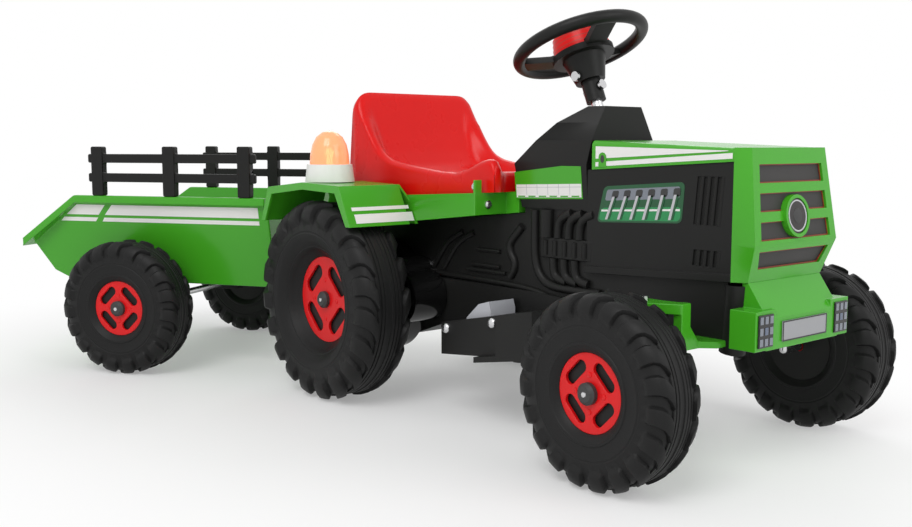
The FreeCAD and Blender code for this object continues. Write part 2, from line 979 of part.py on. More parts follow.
def seat_outline(shares, front, inset):
    """Side view of the seat above the sloping deck, inside its wall."""
    length = front - d.seat_rear
    foot = -d.overrun if inset is not ZERO else ZERO
    points = [
        (d.seat_rear + inset, deck_height(d.seat_rear) + foot),
        (front - inset, deck_height(front) + foot),
    ]
    last = len(shares) - 1
    for number, (x_share, z_share) in reversed(list(enumerate(shares))):
        x = d.seat_rear + length * x_share
        shift = ZERO
        if number == 0:
            shift = inset
        if number == last:
            shift = -inset
        points.append((x + shift, deck_height(x) + d.seat_height * z_share - inset * 1.5))
    return points


def seat():
    """A hollow moulded bucket seat: a dished pan and back between two raised sides."""
    body = new_body("seat")
    inner = d.seat_half_width - d.seat_bolster
    wall = d.seat_wall
    bands = (
        (PAN_SHARES, d.seat_pan_front, -inner, inner),
        (BOLSTER_SHARES, d.seat_front, inner, d.seat_half_width),
        (BOLSTER_SHARES, d.seat_front, -d.seat_half_width, -inner),
    )
    for shares, front, low, high in bands:
        pad(body, "XZ", seat_outline(shares, front, ZERO), low, high)
    for shares, front, low, high in bands:
        pocket(body, "XZ", seat_outline(shares, front, wall), low + wall / 2, high - wall / 2)
    keep("seat", body)


# Hood, panels and nose


def hood():
    """The hood's top with a short skirt each side, open below."""
    body = new_body("hood")
    rear_low = d.hood_rear_height - d.hood_rear_skirt
    front_low = d.hood_front_height - d.hood_front_skirt
    side = [
        (hood_rear, rear_low),
        (hood_front, front_low),
        (hood_front, d.hood_front_height),
        (hood_rear, d.hood_rear_height),
    ]
    pad(body, "XZ", side, -d.hood_half_width, d.hood_half_width)
    tops = (d.hood_rear_height.number + d.hood_front_height.number) / 2
    low_limit = tops - d.hood_wall.number
    inner_limit = d.panel_thick.number

    def along_top(edge):
        return edge.CenterOfMass.z > low_limit and abs(edge.CenterOfMass.y) > inner_limit

    round_edges(body, d.hood_round, along_top)
    inside = [
        (hood_rear - d.overrun, rear_low - d.overrun),
        (hood_front + d.overrun, rear_low - d.overrun),
        (hood_front + d.overrun, d.hood_front_height - d.hood_wall),
        (hood_front, d.hood_front_height - d.hood_wall),
        (hood_rear, d.hood_rear_height - d.hood_wall),
        (hood_rear - d.overrun, d.hood_rear_height - d.hood_wall),
    ]
    inner = d.hood_half_width - d.hood_wall
    pocket(body, "XZ", inside, -inner, inner)
    keep("hood", body)


def hood_sides():
    """Black side panels with a bottom lip and two banks of louvres."""
    rear_low = d.hood_rear_height - d.hood_rear_skirt
    front_low = d.hood_front_height - d.hood_front_skirt
    panel = [
        (panel_rear, d.panel_low_rear),
        (hood_front, d.panel_low_front),
        (hood_front, front_low),
        (hood_rear, rear_low),
        (panel_rear, rear_low),
    ]
    lip = [
        (panel_rear, d.panel_low_rear),
        (hood_front, d.panel_low_front),
        (hood_front, d.panel_low_front + d.panel_lip),
        (panel_rear, d.panel_low_rear + d.panel_lip),
    ]
    for word, side in (("right", -1), ("left", 1)):
        body = new_body(f"hood_side_{word}")
        skin = d.panel_out * side
        low, high = ordered((d.panel_out - d.panel_thick) * side, skin)
        pad(body, "XZ", panel, low, high)
        low, high = ordered(skin, (d.panel_out + d.panel_lip_out) * side)
        pad(body, "XZ", lip, low, high)
        low, high = ordered(skin, (d.panel_out - d.louvre_depth) * side)
        banks = ((d.tall_louvre_low, d.tall_louvre_height), (d.short_louvre_low, d.short_louvre_height))
        for foot, tall in banks:
            lean = d.louvre_lean * tall / d.tall_louvre_height
            for i in range(4):
                x = hood_front - d.louvre_back + d.louvre_pitch * i
                slot = [(x, foot), (x + d.louvre_width, foot)]
                slot += [(x + d.louvre_width + lean, foot + tall), (x + lean, foot + tall)]
                pocket(body, "XZ", slot, low, high)
        keep(f"hood_side_{word}", body)


def nose_section(front, half, wall):
    """Plan of the nose at one height, inside its wall."""
    rear = hood_front if wall is ZERO else hood_front - d.overrun
    side = d.hood_half_width - wall
    points = [(rear, side), (hood_front, side), (front - wall, half - wall)]
    if wall is ZERO:
        points = points[1:]
    return mirror(points)


def grille_windows():
    """Three wide slots, each a little wider than the one above, and the chin's slot."""
    grille_top = d.hood_front_height - d.grille_brow
    chin_low = d.nose_low_height + d.chin_sill
    chin_top = chin_low + d.chin_slot
    grow = (d.grille_half_low - d.grille_half_top) / (d.grille_slot * 3 + d.grille_bar * 2)
    windows = []
    for i in range(3):
        top = grille_top - (d.grille_slot + d.grille_bar) * i
        low = top - d.grille_slot
        top_half = d.grille_half_top + (grille_top - top) * grow
        low_half = d.grille_half_top + (grille_top - low) * grow
        windows.append([(-low_half, low), (low_half, low), (top_half, top), (-top_half, top)])
    windows.append([(-d.grille_half_top, chin_low), (d.grille_half_top, chin_low),
                    (d.grille_half_low, chin_top), (-d.grille_half_low, chin_top)])
    return windows


def nose():
    """The nose shell with its windows and emblem ring, and the grille plate behind it."""
    heights = (
        (d.nose_low_height, nose_low_front, d.nose_low_half),
        (nose_break_height, nose_break_front, d.nose_break_half),
        (d.hood_front_height, nose_top_front, d.nose_top_half),
    )
    shell = new_body("nose_grille")
    loft(shell, "Additive", [(z, nose_section(x, half, ZERO)) for z, x, half in heights])
    low, middle, high = heights
    inner = [
        (low[0] + d.nose_wall, nose_section(low[1], low[2], d.nose_wall)),
        (middle[0], nose_section(middle[1], middle[2], d.nose_wall)),
        (high[0] - d.nose_wall, nose_section(high[1], high[2], d.nose_wall)),
    ]
    loft(shell, "Subtractive", inner)
    for window in grille_windows():
        pocket(shell, "YZ", window, hood_front, nose_break_front + d.overrun)
    ring = emblem_disc("emblem_ring", d.emblem_radius, -d.nose_wall, d.emblem_proud)
    dish_radius = d.emblem_radius - d.emblem_ring
    dish = emblem_disc("emblem_dish", dish_radius, d.emblem_proud / 2, d.overrun)
    keep("nose_grille", cut("nose_finished", fuse("nose_walls", shell, ring), dish))
    inset = d.nose_top_half - d.nose_wall - d.gap
    keep("grille_panels", prism("grille_panels", "XZ", grille_plate_outline(d.grille_plate), -inset, inset))


def emblem_disc(name, radius, near, far):
    """A round stud in the grille's upper face, its ends along that face at two distances from it."""
    slab = [
        (nose_break_front + near, nose_break_height),
        (nose_break_front + far, nose_break_height),
        (nose_top_front + far, d.hood_front_height),
        (nose_top_front + near, d.hood_front_height),
    ]
    height = nose_break_height + d.emblem_rise
    stud = rod(f"{name}_stud", radius, (hood_front, ZERO, height), d.nose_break_reach + d.overrun, "X")
    return common(name, stud, prism(f"{name}_slab", "XZ", slab, -radius, radius))


def grille_plate_outline(thick):
    """Side view of the plate that backs the windows, lying against the nose's inner face."""
    back = d.nose_wall
    low = d.nose_low_height + d.nose_wall
    high = d.hood_front_height - d.nose_wall
    front = [
        (nose_low_front - back, low),
        (nose_break_front - back, nose_break_height),
        (nose_top_front - back, high),
    ]
    return front + [(x - thick, z) for x, z in reversed(front)]


# Dash cowl

# Shares of the cowl's rise, of its run up to the front face, and of its two half widths
COWL_SHARES = [
    (0, 0.33, 0.977, 1),
    (0.52, 0.59, 0.886, 0.785),
    (1, 0.83, 0.545, 0.58),
]


def cowl_plan(rear, front, rear_half, front_half):
    return mirror([(rear, rear_half), (front, front_half)])


def cowl_base(wall):
    """The wide lower part, as sections up to the hood's top."""
    rear = d.cowl_rear + wall
    front = panel_rear - d.gap - wall
    _, run_share, half_share, _ = COWL_SHARES[0]
    run = (hood_rear - d.cowl_ledge - d.cowl_rear) * run_share
    half = d.cowl_half - wall
    low_half = d.cowl_low_half - wall
    top_front = hood_rear - d.gap - wall
    return [
        (d.plateau_height, cowl_plan(rear + d.cowl_undercut, front, low_half, low_half)),
        (d.hood_rear_height - d.cowl_shoulder, cowl_plan(rear, front, half, half)),
        (d.hood_rear_height - wall, cowl_plan(rear + run, top_front, half * half_share, half)),
    ]


def cowl_top(wall):
    """The dash above it, as sections from the sloping panel to the upright front face."""
    face = hood_rear - d.cowl_ledge
    sections = []
    for rise_share, run_share, half_share, face_share in COWL_SHARES:
        height = d.hood_rear_height - wall * 2 + d.cowl_rise * rise_share
        rear = d.cowl_rear + (face - d.cowl_rear) * run_share + wall
        half = d.cowl_half * half_share - wall
        sections.append((height, cowl_plan(rear, face - wall, half, d.cowl_face_half * face_share - wall)))
    return sections


def dash_cowl():
    """The hollow cowl behind the hood: a wide base and a sloping dash that the column passes."""
    body = new_body("dash_cowl")
    loft(body, "Additive", cowl_base(ZERO))
    loft(body, "Additive", cowl_top(ZERO))
    loft(body, "Subtractive", cowl_base(d.cowl_wall))
    loft(body, "Subtractive", cowl_top(d.cowl_wall))
    keep("dash_cowl", cut("cowl_bored", body, column_bore("cowl_bore", d.column_radius + d.fit)))


# Steering, drawn about the column's axis with its origin at the wheel's centre


def boss_low():
    """Underside of the wheel's boss."""
    return d.boss_cup - d.boss_drop - d.boss_depth


def clamp_bolt_places():
    """Height, direction and half length of the bolt across the collar and of the one across the neck."""
    height = boss_low() - d.clamp_bolt_drop
    return [
        (height, "Y", d.collar_bolt_half),
        (height - d.clamp_bolt_pitch, "X", d.neck_radius + d.clamp_bolt_end),
    ]


def across_neck(name, radius):
    """Rods right through the wheel's collar and neck at the two bolts."""
    rods = []
    for height, axis, half in clamp_bolt_places():
        start = (-half, ZERO, height) if axis == "X" else (ZERO, -half, height)
        rods.append(rod(name, radius, start, half * 2, axis))
    return rods


def steering_wheel():
    """A round rim on three spokes, a boss with a well for the horn, and a neck down the column."""
    ring = doc.addObject("Part::Torus", "wheel_ring")
    bind(ring, Radius1=d.wheel_ring, Radius2=d.wheel_tube)
    pieces = [ring]
    side_view = [
        (ZERO, -d.boss_drop),
        (d.boss_radius, -d.boss_drop),
        (d.wheel_ring, -d.spoke_depth / 2),
        (d.wheel_ring, d.spoke_depth / 2),
        (d.boss_radius, d.spoke_depth - d.boss_drop),
        (ZERO, d.spoke_depth - d.boss_drop),
    ]
    for i in range(3):
        spoke = prism("wheel_spoke", "XZ", side_view, -d.spoke_width / 2, d.spoke_width / 2)
        turn(spoke, V(0, 0, 1), d.spoke_clock + 120 * i)
        pieces.append(spoke)
    foot = boss_low()
    pieces.append(rod("wheel_boss", d.boss_radius, (ZERO, ZERO, foot), d.boss_depth, "Z"))
    collar_foot = foot - d.collar_length
    collar = doc.addObject("Part::Cone", "wheel_collar")
    bind(collar, Radius1=d.collar_radius, Radius2=d.collar_top_radius, Height=d.collar_length)
    set_base(collar, ZERO, ZERO, collar_foot)
    pieces.append(collar)
    neck_foot = collar_foot - d.neck_length
    pieces.append(rod("wheel_neck", d.neck_radius, (ZERO, ZERO, neck_foot), d.neck_length, "Z"))
    depth = -d.horn_well - neck_foot
    bore_foot = neck_foot - d.overrun
    bore = rod("wheel_bore", d.column_radius + d.fit, (ZERO, ZERO, bore_foot), depth + d.overrun, "Z")
    cup = rod("wheel_cup", d.horn_radius + d.gap, (ZERO, ZERO, -d.boss_drop), d.overrun, "Z")
    holes = across_neck("bolt_hole", d.clamp_bolt_radius + d.fit)
    keep_steering("steering_wheel", cut("steering_wheel", fuse("wheel_solid", *pieces), bore, cup, *holes))


def steering_column():
    """A steel rod with a crank that points back and carries a pin at its foot."""
    foot = -column_reach
    shaft = rod("column_shaft", d.column_radius, (ZERO, ZERO, foot), column_length, "Z")
    arm = box("column_crank", (-d.crank_length - d.crank_width / 2, d.crank_width / 2),
              (-d.crank_width / 2, d.crank_width / 2), (foot, foot + d.crank_thick))
    pin_foot = foot + d.crank_thick - d.crank_pin_length
    pin = rod("crank_pin", d.link_pin_radius, (-d.crank_length, ZERO, pin_foot), d.crank_pin_length, "Z")
    holes = across_neck("column_bolt_hole", d.clamp_bolt_radius + d.fit)
    keep_steering("steering_column", cut("steering_column", fuse("column_solid", shaft, arm, pin), *holes))


def column_bolts():
    """Two bolts through the wheel's collar and neck and the column, one to the side and one to the front."""
    shanks = across_neck("clamp_shank", d.clamp_bolt_radius)
    heads = []
    for height, axis, half in clamp_bolt_places():
        start = (half, ZERO, height) if axis == "X" else (ZERO, -half - d.screw_head, height)
        heads.append(rod("clamp_head", d.clamp_bolt_radius * 1.7, start, d.screw_head, axis))
    bolts = [fuse("clamp_bolt", shank, head) for shank, head in zip(shanks, heads)]
    keep_steering("column_bolts", group("column_bolts", *bolts))


HORN_STEPS = 4


def horn():
    """A ribbed push pad over its switch, in the boss's cup."""
    seat_z = -d.boss_drop
    foot = seat_z + d.horn_travel + d.gap
    steps = []
    for i in range(HORN_STEPS):
        radius = d.horn_radius - d.horn_step * i
        height = d.horn_height * (i + 1) / HORN_STEPS
        steps.append(rod("horn_step", radius, (ZERO, ZERO, foot), height, "Z"))
    hollow = d.horn_switch_radius + d.horn_switch_room
    room = rod("horn_hollow", hollow, (ZERO, ZERO, foot), d.horn_height / 2, "Z")
    keep_steering("horn_button", cut("horn_button", fuse("horn_solid", *steps), room))
    switch = rod("horn_switch", d.horn_switch_radius, (ZERO, ZERO, seat_z), d.horn_height * 0.4, "Z")
    keep_steering("horn_switch", group("horn_switch_case", switch))


# Front axle


def front_axle_beam():
    """A green plate under the nose with a C-shaped bracket at each end for the kingpins."""
    body = new_body("front_axle_beam")
    ear = d.ear_radius
    rear = d.wheelbase - ear
    front = d.wheelbase + ear
    web_front = d.wheelbase + d.beam_web_ahead
    web_rear = web_front - d.beam_web
    low = d.nose_floor - d.beam_thick
    plan = mirror([
        (rear, d.kingpin_half + ear),
        (front, d.kingpin_half + ear),
        (web_front, d.beam_web_out),
        (web_front, d.beam_web_in),
        (body_front, d.beam_web_in - ear),
    ])
    pad(body, "XY", plan, low, d.nose_floor)
    for side in (-1, 1):
        inner = d.beam_web_in * side
        outer = d.beam_web_out * side
        top_in = d.beam_web_top * side
        web = [(inner, low), (outer, low), (outer, d.ear_top), (top_in, d.ear_top),
               (top_in, (low + d.ear_top) / 2), (inner, d.nose_floor)]
        pad(body, "YZ", web, web_rear, web_front)
        ear_out = (d.kingpin_half + ear) * side
        ear_in = (d.kingpin_half - ear) * side
        top = [(web_front, top_in), (web_front, outer), (front, ear_out), (rear, ear_out), (rear, ear_in),
               (front, ear_in)]
        pad(body, "XY", top, d.ear_top - d.ear_thick, d.ear_top)
    holes = [
        rod("kingpin_hole", d.axle_radius + d.fit, (d.wheelbase, d.kingpin_half * side, low - d.overrun),
            d.ear_top - low + d.overrun * 2, "Z")
        for side in (-1, 1)
    ]
    keep("front_axle_beam", cut("beam_bored", body, *holes))


def knuckles():
    """Bent steel stub axles: an upright kingpin, a wheel spindle, and a steering arm with its pin."""
    for word, side in (("right", -1), ("left", 1)):
        y = d.kingpin_half * side
        end = d.front_half_track + d.front_hub_face + d.axle_reach
        height = d.ear_top + d.kingpin_top - d.front_radius
        upright = rod("knuckle_kingpin", d.axle_radius, (d.wheelbase, y, d.front_radius), height, "Z")
        elbow = doc.addObject("Part::Sphere", "knuckle_elbow")
        bind(elbow, Radius=d.axle_radius)
        set_base(elbow, d.wheelbase, y, d.front_radius)
        start = y if side > 0 else -end
        spindle = rod("knuckle_spindle", d.axle_radius, (d.wheelbase, start, d.front_radius),
                      end - d.kingpin_half, "Y")
        arm = box("knuckle_arm", (d.wheelbase - d.arm_length - d.arm_width / 2, d.wheelbase),
                  (y - d.arm_width / 2, y + d.arm_width / 2), (d.arm_height, d.arm_height + d.arm_thick))
        pin = rod("knuckle_pin", d.link_pin_radius, (d.wheelbase - d.arm_length, y, d.arm_height),
                  d.link_pin_length, "Z")
        keep(f"knuckle_{word}", fuse(f"knuckle_{word}", upright, elbow, spindle, arm, pin))
        cap = placed_cap("front_cap", d.wheelbase, (end - d.cap_depth * 0.75) * side, d.front_radius, side)
        keep(f"front_cap_{word}", group(f"front_cap_{word}", cap))


def crank_pin_place():
    """Where the crank's pin meets the tie rod's mid height."""
    tilt = d.column_tilt
    x = d.wheel_x + column_reach * sine(tilt) - d.crank_length * cosine(tilt)
    z = d.column_foot - d.crank_length * sine(tilt)
    drop = z - tie_low - d.tie_thick / 2
    return x + drop * sine(tilt) / cosine(tilt)


def tie_rod():
    """A flat bar from knuckle to knuckle, with slots for the two arm pins and the crank pin."""
    bar_x = d.wheelbase - d.arm_length
    high = tie_low + d.tie_thick
    half = d.kingpin_half
    heights = (tie_low, high)
    pieces = [box("tie_bar", (bar_x - d.tie_width / 2, bar_x + d.tie_width / 2), (-half, half), heights)]
    slots = []
    room = d.link_pin_radius + d.link_gap
    crank_x = crank_pin_place()
    end = d.tie_end / 2
    for x, y in ((bar_x, -half), (crank_x, ZERO), (bar_x, half)):
        pieces.append(box("tie_end", (x - end, x + end), (y - end, y + end), heights))
        slots.append(box("tie_slot", (x - d.tie_slot, x + d.tie_slot), (y - room, y + room),
                         (tie_low - d.overrun, high + d.overrun)))
    tongue_low, tongue_high = ordered(crank_x + end, bar_x)
    pieces.append(box("tie_tongue", (tongue_low, tongue_high), (-end, end), heights))
    keep("tie_rod", cut("tie_rod", fuse("tie_solid", *pieces), *slots))


# Bumper


def front_bumper():
    """A sloping block between two lamp boxes, hollow behind, on a narrower neck."""
    body = new_body("front_bumper")
    for rear, half in ((block_rear, d.bumper_top_half), (body_front, d.lamp_in)):
        slope = [
            (rear, d.bumper_low),
            (bumper_front, d.bumper_low),
            (bumper_front, d.bumper_slope_low),
            (nose_low_front, d.nose_low_height),
            (rear, d.nose_low_height),
        ]
        pad(body, "XZ", slope, -half, half)
    for side in (-1, 1):
        lamp = [(d.lamp_in * side, d.lamp_low), (d.lamp_out * side, d.lamp_low),
                (d.lamp_out * side, d.lamp_top), (d.lamp_in * side, d.lamp_top)]
        pad(body, "YZ", lamp, block_rear, bumper_front)
    doc.recompute()
    wall = d.bumper_wall
    hollow = [(body_front - d.overrun, d.bumper_low + wall), (bumper_front - wall, d.bumper_low + wall),
              (bumper_front - wall, d.bumper_slope_low - wall),
              (nose_low_front - wall, d.nose_low_height - wall),
              (body_front - d.overrun, d.nose_low_height - wall)]
    pocket(body, "XZ", hollow, wall - d.bumper_top_half, d.bumper_top_half - wall)
    keep("front_bumper", body)
    lamps = []
    for side in (-1, 1):
        y = ordered((d.lamp_in + d.lamp_margin * 2) * side, (d.lamp_out - d.lamp_margin) * side)
        lamps.append(box("headlight", (bumper_front, bumper_front + d.lamp_plate), y,
                         (d.lamp_low + d.lamp_margin, d.lamp_top - d.lamp_margin)))
    keep("headlights", group("headlights", *lamps))
    plate = box("number_plate", (ZERO, d.plate_thick), (-d.plate_half, d.plate_half), (ZERO, d.plate_height))
    keep("number_plate", group("plate_sheet", plate), bumper_front, ZERO, d.plate_low)


# Footrests, pedal and screws


def footrest_outline():
    return [
        (d.footrest_rear, d.footrest_rear_low),
        (d.footrest_mid, d.footrest_mid_low),
        (d.footrest_front, d.footrest_front_low),
        (d.footrest_front, d.footrest_front_top),
        (d.footrest_rear, d.footrest_rear_top),
    ]


def footrest_box_outline():
    """Side view of the box that stands out of the footrest's front half, with its foot reaching back."""
    rise = (d.footrest_front_low - d.footrest_mid_low) / (d.footrest_front - d.footrest_mid)
    knee_low = d.footrest_mid_low + (d.footrest_knee - d.footrest_mid) * rise
    return [
        (d.footrest_mid, d.footrest_mid_low - d.footrest_base),
        (d.footrest_front, d.footrest_front_low - d.footrest_base),
        (d.footrest_front, d.footrest_front_top),
        (d.footrest_knee, footrest_height(d.footrest_knee)),
        (d.footrest_knee, knee_low),
        (d.footrest_mid, d.footrest_mid_low),
    ]


def footrest_height(x):
    """Height of the footrest's sloping top."""
    rise = (d.footrest_front_top - d.footrest_rear_top) / (d.footrest_front - d.footrest_rear)
    return d.footrest_rear_top + (x - d.footrest_rear) * rise


def footrests():
    """A sloping box each side, open below; the right one has the pedal's opening."""
    inner = d.body_half_width + d.sill_out
    flange = d.footrest_out - d.footrest_step
    for word, side in (("right", -1), ("left", 1)):
        body = new_body(f"footrest_{word}")
        low, high = ordered(inner * side, flange * side)
        pad(body, "XZ", footrest_outline(), low, high)
        low, high = ordered((flange - d.wall) * side, d.footrest_out * side)
        pad(body, "XZ", footrest_box_outline(), low, high)
        low, high = ordered((inner + d.wall) * side, (flange - d.wall) * side)
        hollow = [
            (d.footrest_rear + d.wall, d.footrest_rear_low - d.overrun),
            (d.footrest_front - d.wall, d.footrest_rear_low - d.overrun),
            (d.footrest_front - d.wall, footrest_height(d.footrest_front) - d.wall * 1.5),
            (d.footrest_rear + d.wall, footrest_height(d.footrest_rear) - d.wall * 1.5),
        ]
        pocket(body, "XZ", hollow, low, high)
        if side < 0:
            opening = box("pedal_opening", (d.pedal_rear - d.gap, d.pedal_front + d.pedal_room),
                          (-d.pedal_out - d.gap, d.pedal_width + d.gap - d.pedal_out),
                          (d.pedal_rear_height - d.overrun, d.pedal_front_height))
            ledge = box("switch_ledge", (d.footrest_rear + d.wall, d.pedal_front + d.wall),
                        (-d.pedal_out, d.pedal_width - d.pedal_out),
                        (d.footrest_mid_low + d.wall, d.footrest_mid_low + d.wall * 2))
            arm = box("switch_bridge", (d.pedal_front - d.wall * 4, d.pedal_front + d.wall),
                      (-flange + d.wall / 2, -inner - d.wall / 2),
                      (d.footrest_mid_low + d.wall, d.footrest_mid_low + d.wall * 2))
            pivot = pedal_pins("pivot_hole", d.pedal_pivot_radius + d.fit, d.pedal_pivot_reach + d.gap)
            body = fuse("footrest_bridged", cut("footrest_opened", body, opening, pivot), ledge, arm)
        keep(f"footrest_{word}", body)


def pedal_pins(name, radius, reach):
    """The pedal's pivot, sunk in the thickness of the footrest's top and past each side of the pedal."""
    x = d.pedal_rear + d.pedal_pivot_radius * 2
    z = footrest_height(x) - d.wall * 0.75
    return rod(name, radius, (x, -d.pedal_out - reach, z), d.pedal_width + reach * 2, "Y")


def pedal():
    """A wedge pedal that turns on its rear edge, and the switch beneath it."""
    half_run = (d.pedal_rear + d.pedal_front) / 2
    side = [
        (d.pedal_rear, d.pedal_rear_height - d.pedal_drop / 2),
        (d.pedal_front, d.pedal_low),
        (d.pedal_front, d.pedal_front_height - d.pedal_drop),
        (d.pedal_front - d.pedal_drop / 3, d.pedal_front_height),
        (half_run, d.pedal_front_height - d.pedal_drop / 2),
        (d.pedal_rear, d.pedal_rear_height),
    ]
    wedge = prism("pedal_wedge", "XZ", side, -d.pedal_out, d.pedal_width - d.pedal_out)
    pins = pedal_pins("pedal_pins", d.pedal_pivot_radius, d.pedal_pivot_reach)
    keep("accelerator_pedal", fuse("pedal_pinned", wedge, pins))
    floor = d.footrest_mid_low + d.wall * 2
    mid_y = d.pedal_width / 2 - d.pedal_out
    switch = box("pedal_switch", (ZERO, d.switch_length), (-d.switch_width / 2, d.switch_width / 2),
                 (ZERO, d.switch_height))
    keep("pedal_switch", group("switch_case", switch), d.pedal_front - d.switch_length, mid_y, floor)


def screw(name, x, y, z, heading):
    """A pan-head screw; its head looks to the left, turned by the heading in degrees."""
    head = spun(name, [(ZERO, ZERO), (d.screw_radius, ZERO), (d.screw_radius, d.screw_head * 0.5),
                       (d.screw_radius * 0.6, d.screw_head), (ZERO, d.screw_head)])
    set_base(head, x, y, z)
    turn(head, V(0, 0, 1), as_dim(heading))
    return head


FORWARDS = -90


def screws():
    """Pan-head screws on the footrests and on the deck's skirt."""
    heads = []
    inset = d.screw_radius * 2
    for side, outwards in ((-1, 180), (1, 0)):
        for x in (d.footrest_rear + inset, (d.footrest_rear + d.footrest_front) / 2 + inset):
            z = footrest_height(x) - inset * 0.8
            heads.append(screw("footrest_screw", x, (d.footrest_out - d.footrest_step) * side, z, outwards))
        y = (d.deck_half_width - inset) * side
        z = deck_height(d.deck_step) - inset * 1.4
        heads.append(screw("deck_screw", d.deck_step, y, z, FORWARDS))
        x = d.deck_step - inset * 1.6
        z = deck_height(x) + d.screw_radius * 1.5
        heads.append(screw("seat_screw", x, d.seat_half_width * side, z, outwards))
    keep("pan_head_screws", group("pan_head_screws", *heads))


# Drive


def idler_place():
    """Centre of the idler, one mesh ahead of the rear axle."""
    reach = d.gear_module * (d.drive_teeth + d.idler_small_teeth) / 2
    return reach * cosine(d.idler_angle), d.rear_radius + reach * sine(d.idler_angle)


def pinion_place():
    """Centre of the motor's pinion, above the idler."""
    x, z = idler_place()
    reach = d.gear_module * (d.idler_big_teeth + d.pinion_teeth) / 2
    return x + reach * cosine(d.pinion_angle), z + reach * sine(d.pinion_angle)


def gear_disc(teeth, phase, low, high, bore):
    """A spur gear about Y with straight flanks; phase is a tooth's angle in degrees."""
    module = d.gear_module.number
    pitch = module * teeth / 2
    tip = pitch + module * 0.7
    root = pitch - module * 0.95
    step = 2 * math.pi / teeth
    points = []
    for i in range(teeth):
        middle = math.radians(phase) + step * i
        for radius, share in ((root, -0.22), (tip, -0.09), (tip, 0.09), (root, 0.22)):
            angle = middle + step * share
            points.append(V(radius * math.cos(angle), low, radius * math.sin(angle)))
    face = Part.Face(Part.makePolygon(points + points[:1]))
    solid = face.extrude(V(0, high - low, 0))
    if bore:
        solid = solid.cut(Part.makeCylinder(bore, high - low, V(0, low, 0), V(0, 1, 0)))
    return solid


def tube(radius, bore, low, high):
    """A tube about Y."""
    solid = Part.makeCylinder(radius, high - low, V(0, low, 0), V(0, 1, 0))
    if bore:
        solid = solid.cut(Part.makeCylinder(bore, high - low, V(0, low, 0), V(0, 1, 0)))
    return solid


def gears():
    """The drive gear on the right wheel, the stepped idler, and the motor's pinion."""
    inside = -d.gearbox_in - d.gearbox_wall - d.gear_side_room
    big_low = (inside - d.idler_face).number
    small_high = (inside - d.idler_face - d.gear_side_room).number
    small_low = small_high - d.gear_face.number
    hub_side = (d.rear_hub_face - d.rear_half_track).number
    angle = d.idler_angle.number
    drive_teeth = int(d.drive_teeth.number)
    small_teeth = int(d.idler_small_teeth.number)
    big_teeth = int(d.idler_big_teeth.number)
    pinion_teeth = int(d.pinion_teeth.number)
    bore = (d.axle_radius + d.fit).number
    drive = gear_disc(drive_teeth, angle, small_low, small_high, bore)
    drive = drive.fuse(tube(d.drive_sleeve.number, bore, hub_side, small_low))
    small = gear_disc(small_teeth, angle + 180 + 180 / small_teeth, small_low, small_high, 0)
    big = gear_disc(big_teeth, d.pinion_angle.number, big_low, inside.number, 0)
    link = tube(d.idler_shaft.number * 2, 0, small_high, big_low)
    shaft_low = -(d.gearbox_out - d.gearbox_wall * 0.2).number
    shaft_high = -(d.gearbox_in + d.gearbox_wall * 0.2).number
    idler = big.fuse([small, link, tube(d.idler_shaft.number, 0, shaft_low, shaft_high)])
    pinion_phase = d.pinion_angle.number + 180 + 180 / pinion_teeth
    pinion = gear_disc(pinion_teeth, pinion_phase, big_low, inside.number, 0)
    tail = (d.motor_bore * 0.8 - d.gearbox_in).number
    pinion = pinion.fuse(tube(d.pinion_shaft.number, 0, inside.number, tail))
    idler_x, idler_z = idler_place()
    pinion_x, pinion_z = pinion_place()
    for name, shape, x, z in (
        ("drive_gear", drive, ZERO, d.rear_radius),
        ("idler_gear", idler, idler_x, idler_z),
        ("motor_pinion", pinion, pinion_x, pinion_z),
    ):
        obj = doc.addObject("Part::Feature", name)
        obj.Shape = shape.removeSplitter()
        keep(name, obj, x, ZERO, z)


def gearbox():
    """A closed case round the three gears, bored for the axle sleeve, idler and motor shaft."""
    idler_x, idler_z = idler_place()
    pinion_x, pinion_z = pinion_place()
    rounds = (
        (ZERO, d.rear_radius, d.gear_module * (d.drive_teeth + 2) / 2),
        (idler_x, idler_z, d.gear_module * (d.idler_big_teeth + 2) / 2),
        (pinion_x, pinion_z, d.gear_module * (d.pinion_teeth + 2) / 2),
    )
    outer = []
    inner = []
    depth = d.gearbox_out - d.gearbox_in
    face = -d.gearbox_out
    room = depth - d.gearbox_wall * 2
    for x, z, radius in rounds:
        clear = radius + d.gearbox_room
        outer.append(rod("case_round", clear + d.gearbox_wall, (x, face, z), depth, "Y"))
        inner.append(rod("case_room", clear, (x, face + d.gearbox_wall, z), room, "Y"))
    holes = [
        rod("sleeve_hole", d.drive_sleeve + d.gap, (ZERO, face - d.overrun, d.rear_radius),
            d.overrun * 2, "Y"),
        rod("axle_hole", d.axle_radius + d.fit, (ZERO, face, d.rear_radius), depth + d.overrun, "Y"),
        rod("idler_hole", d.idler_shaft + d.fit, (idler_x, face, idler_z), depth, "Y"),
        rod("pinion_hole", d.pinion_shaft + d.gap, (pinion_x, face + room, pinion_z), d.overrun, "Y"),
    ]
    keep("gearbox_housing", cut("gearbox_housing", fuse("case_solid", *outer), *inner, *holes))
    can = rod("motor_can", d.motor_radius, (ZERO, ZERO, ZERO), d.motor_length, "Y")
    bore = rod("motor_bore", d.pinion_shaft + d.fit, (ZERO, ZERO, ZERO), d.motor_bore, "Y")
    keep("drive_motor", group("motor", cut("motor_bored", can, bore)), pinion_x, -d.gearbox_in, pinion_z)


def battery():
    """A sealed battery with two terminals, standing on the shell's floor."""
    low = d.floor_height + d.wall
    half = d.battery_width / 2
    case = box("battery_case", (d.battery_rear, d.battery_rear + d.battery_length), (-half, half),
               (low, low + d.battery_height))
    posts = [
        rod("battery_post", d.terminal_radius, (d.battery_rear + d.battery_length / 2, half * share,
                                                low + d.battery_height), d.terminal_height, "Z")
        for share in (-0.5, 0.5)
    ]
    keep("battery", fuse("battery", case, *posts))


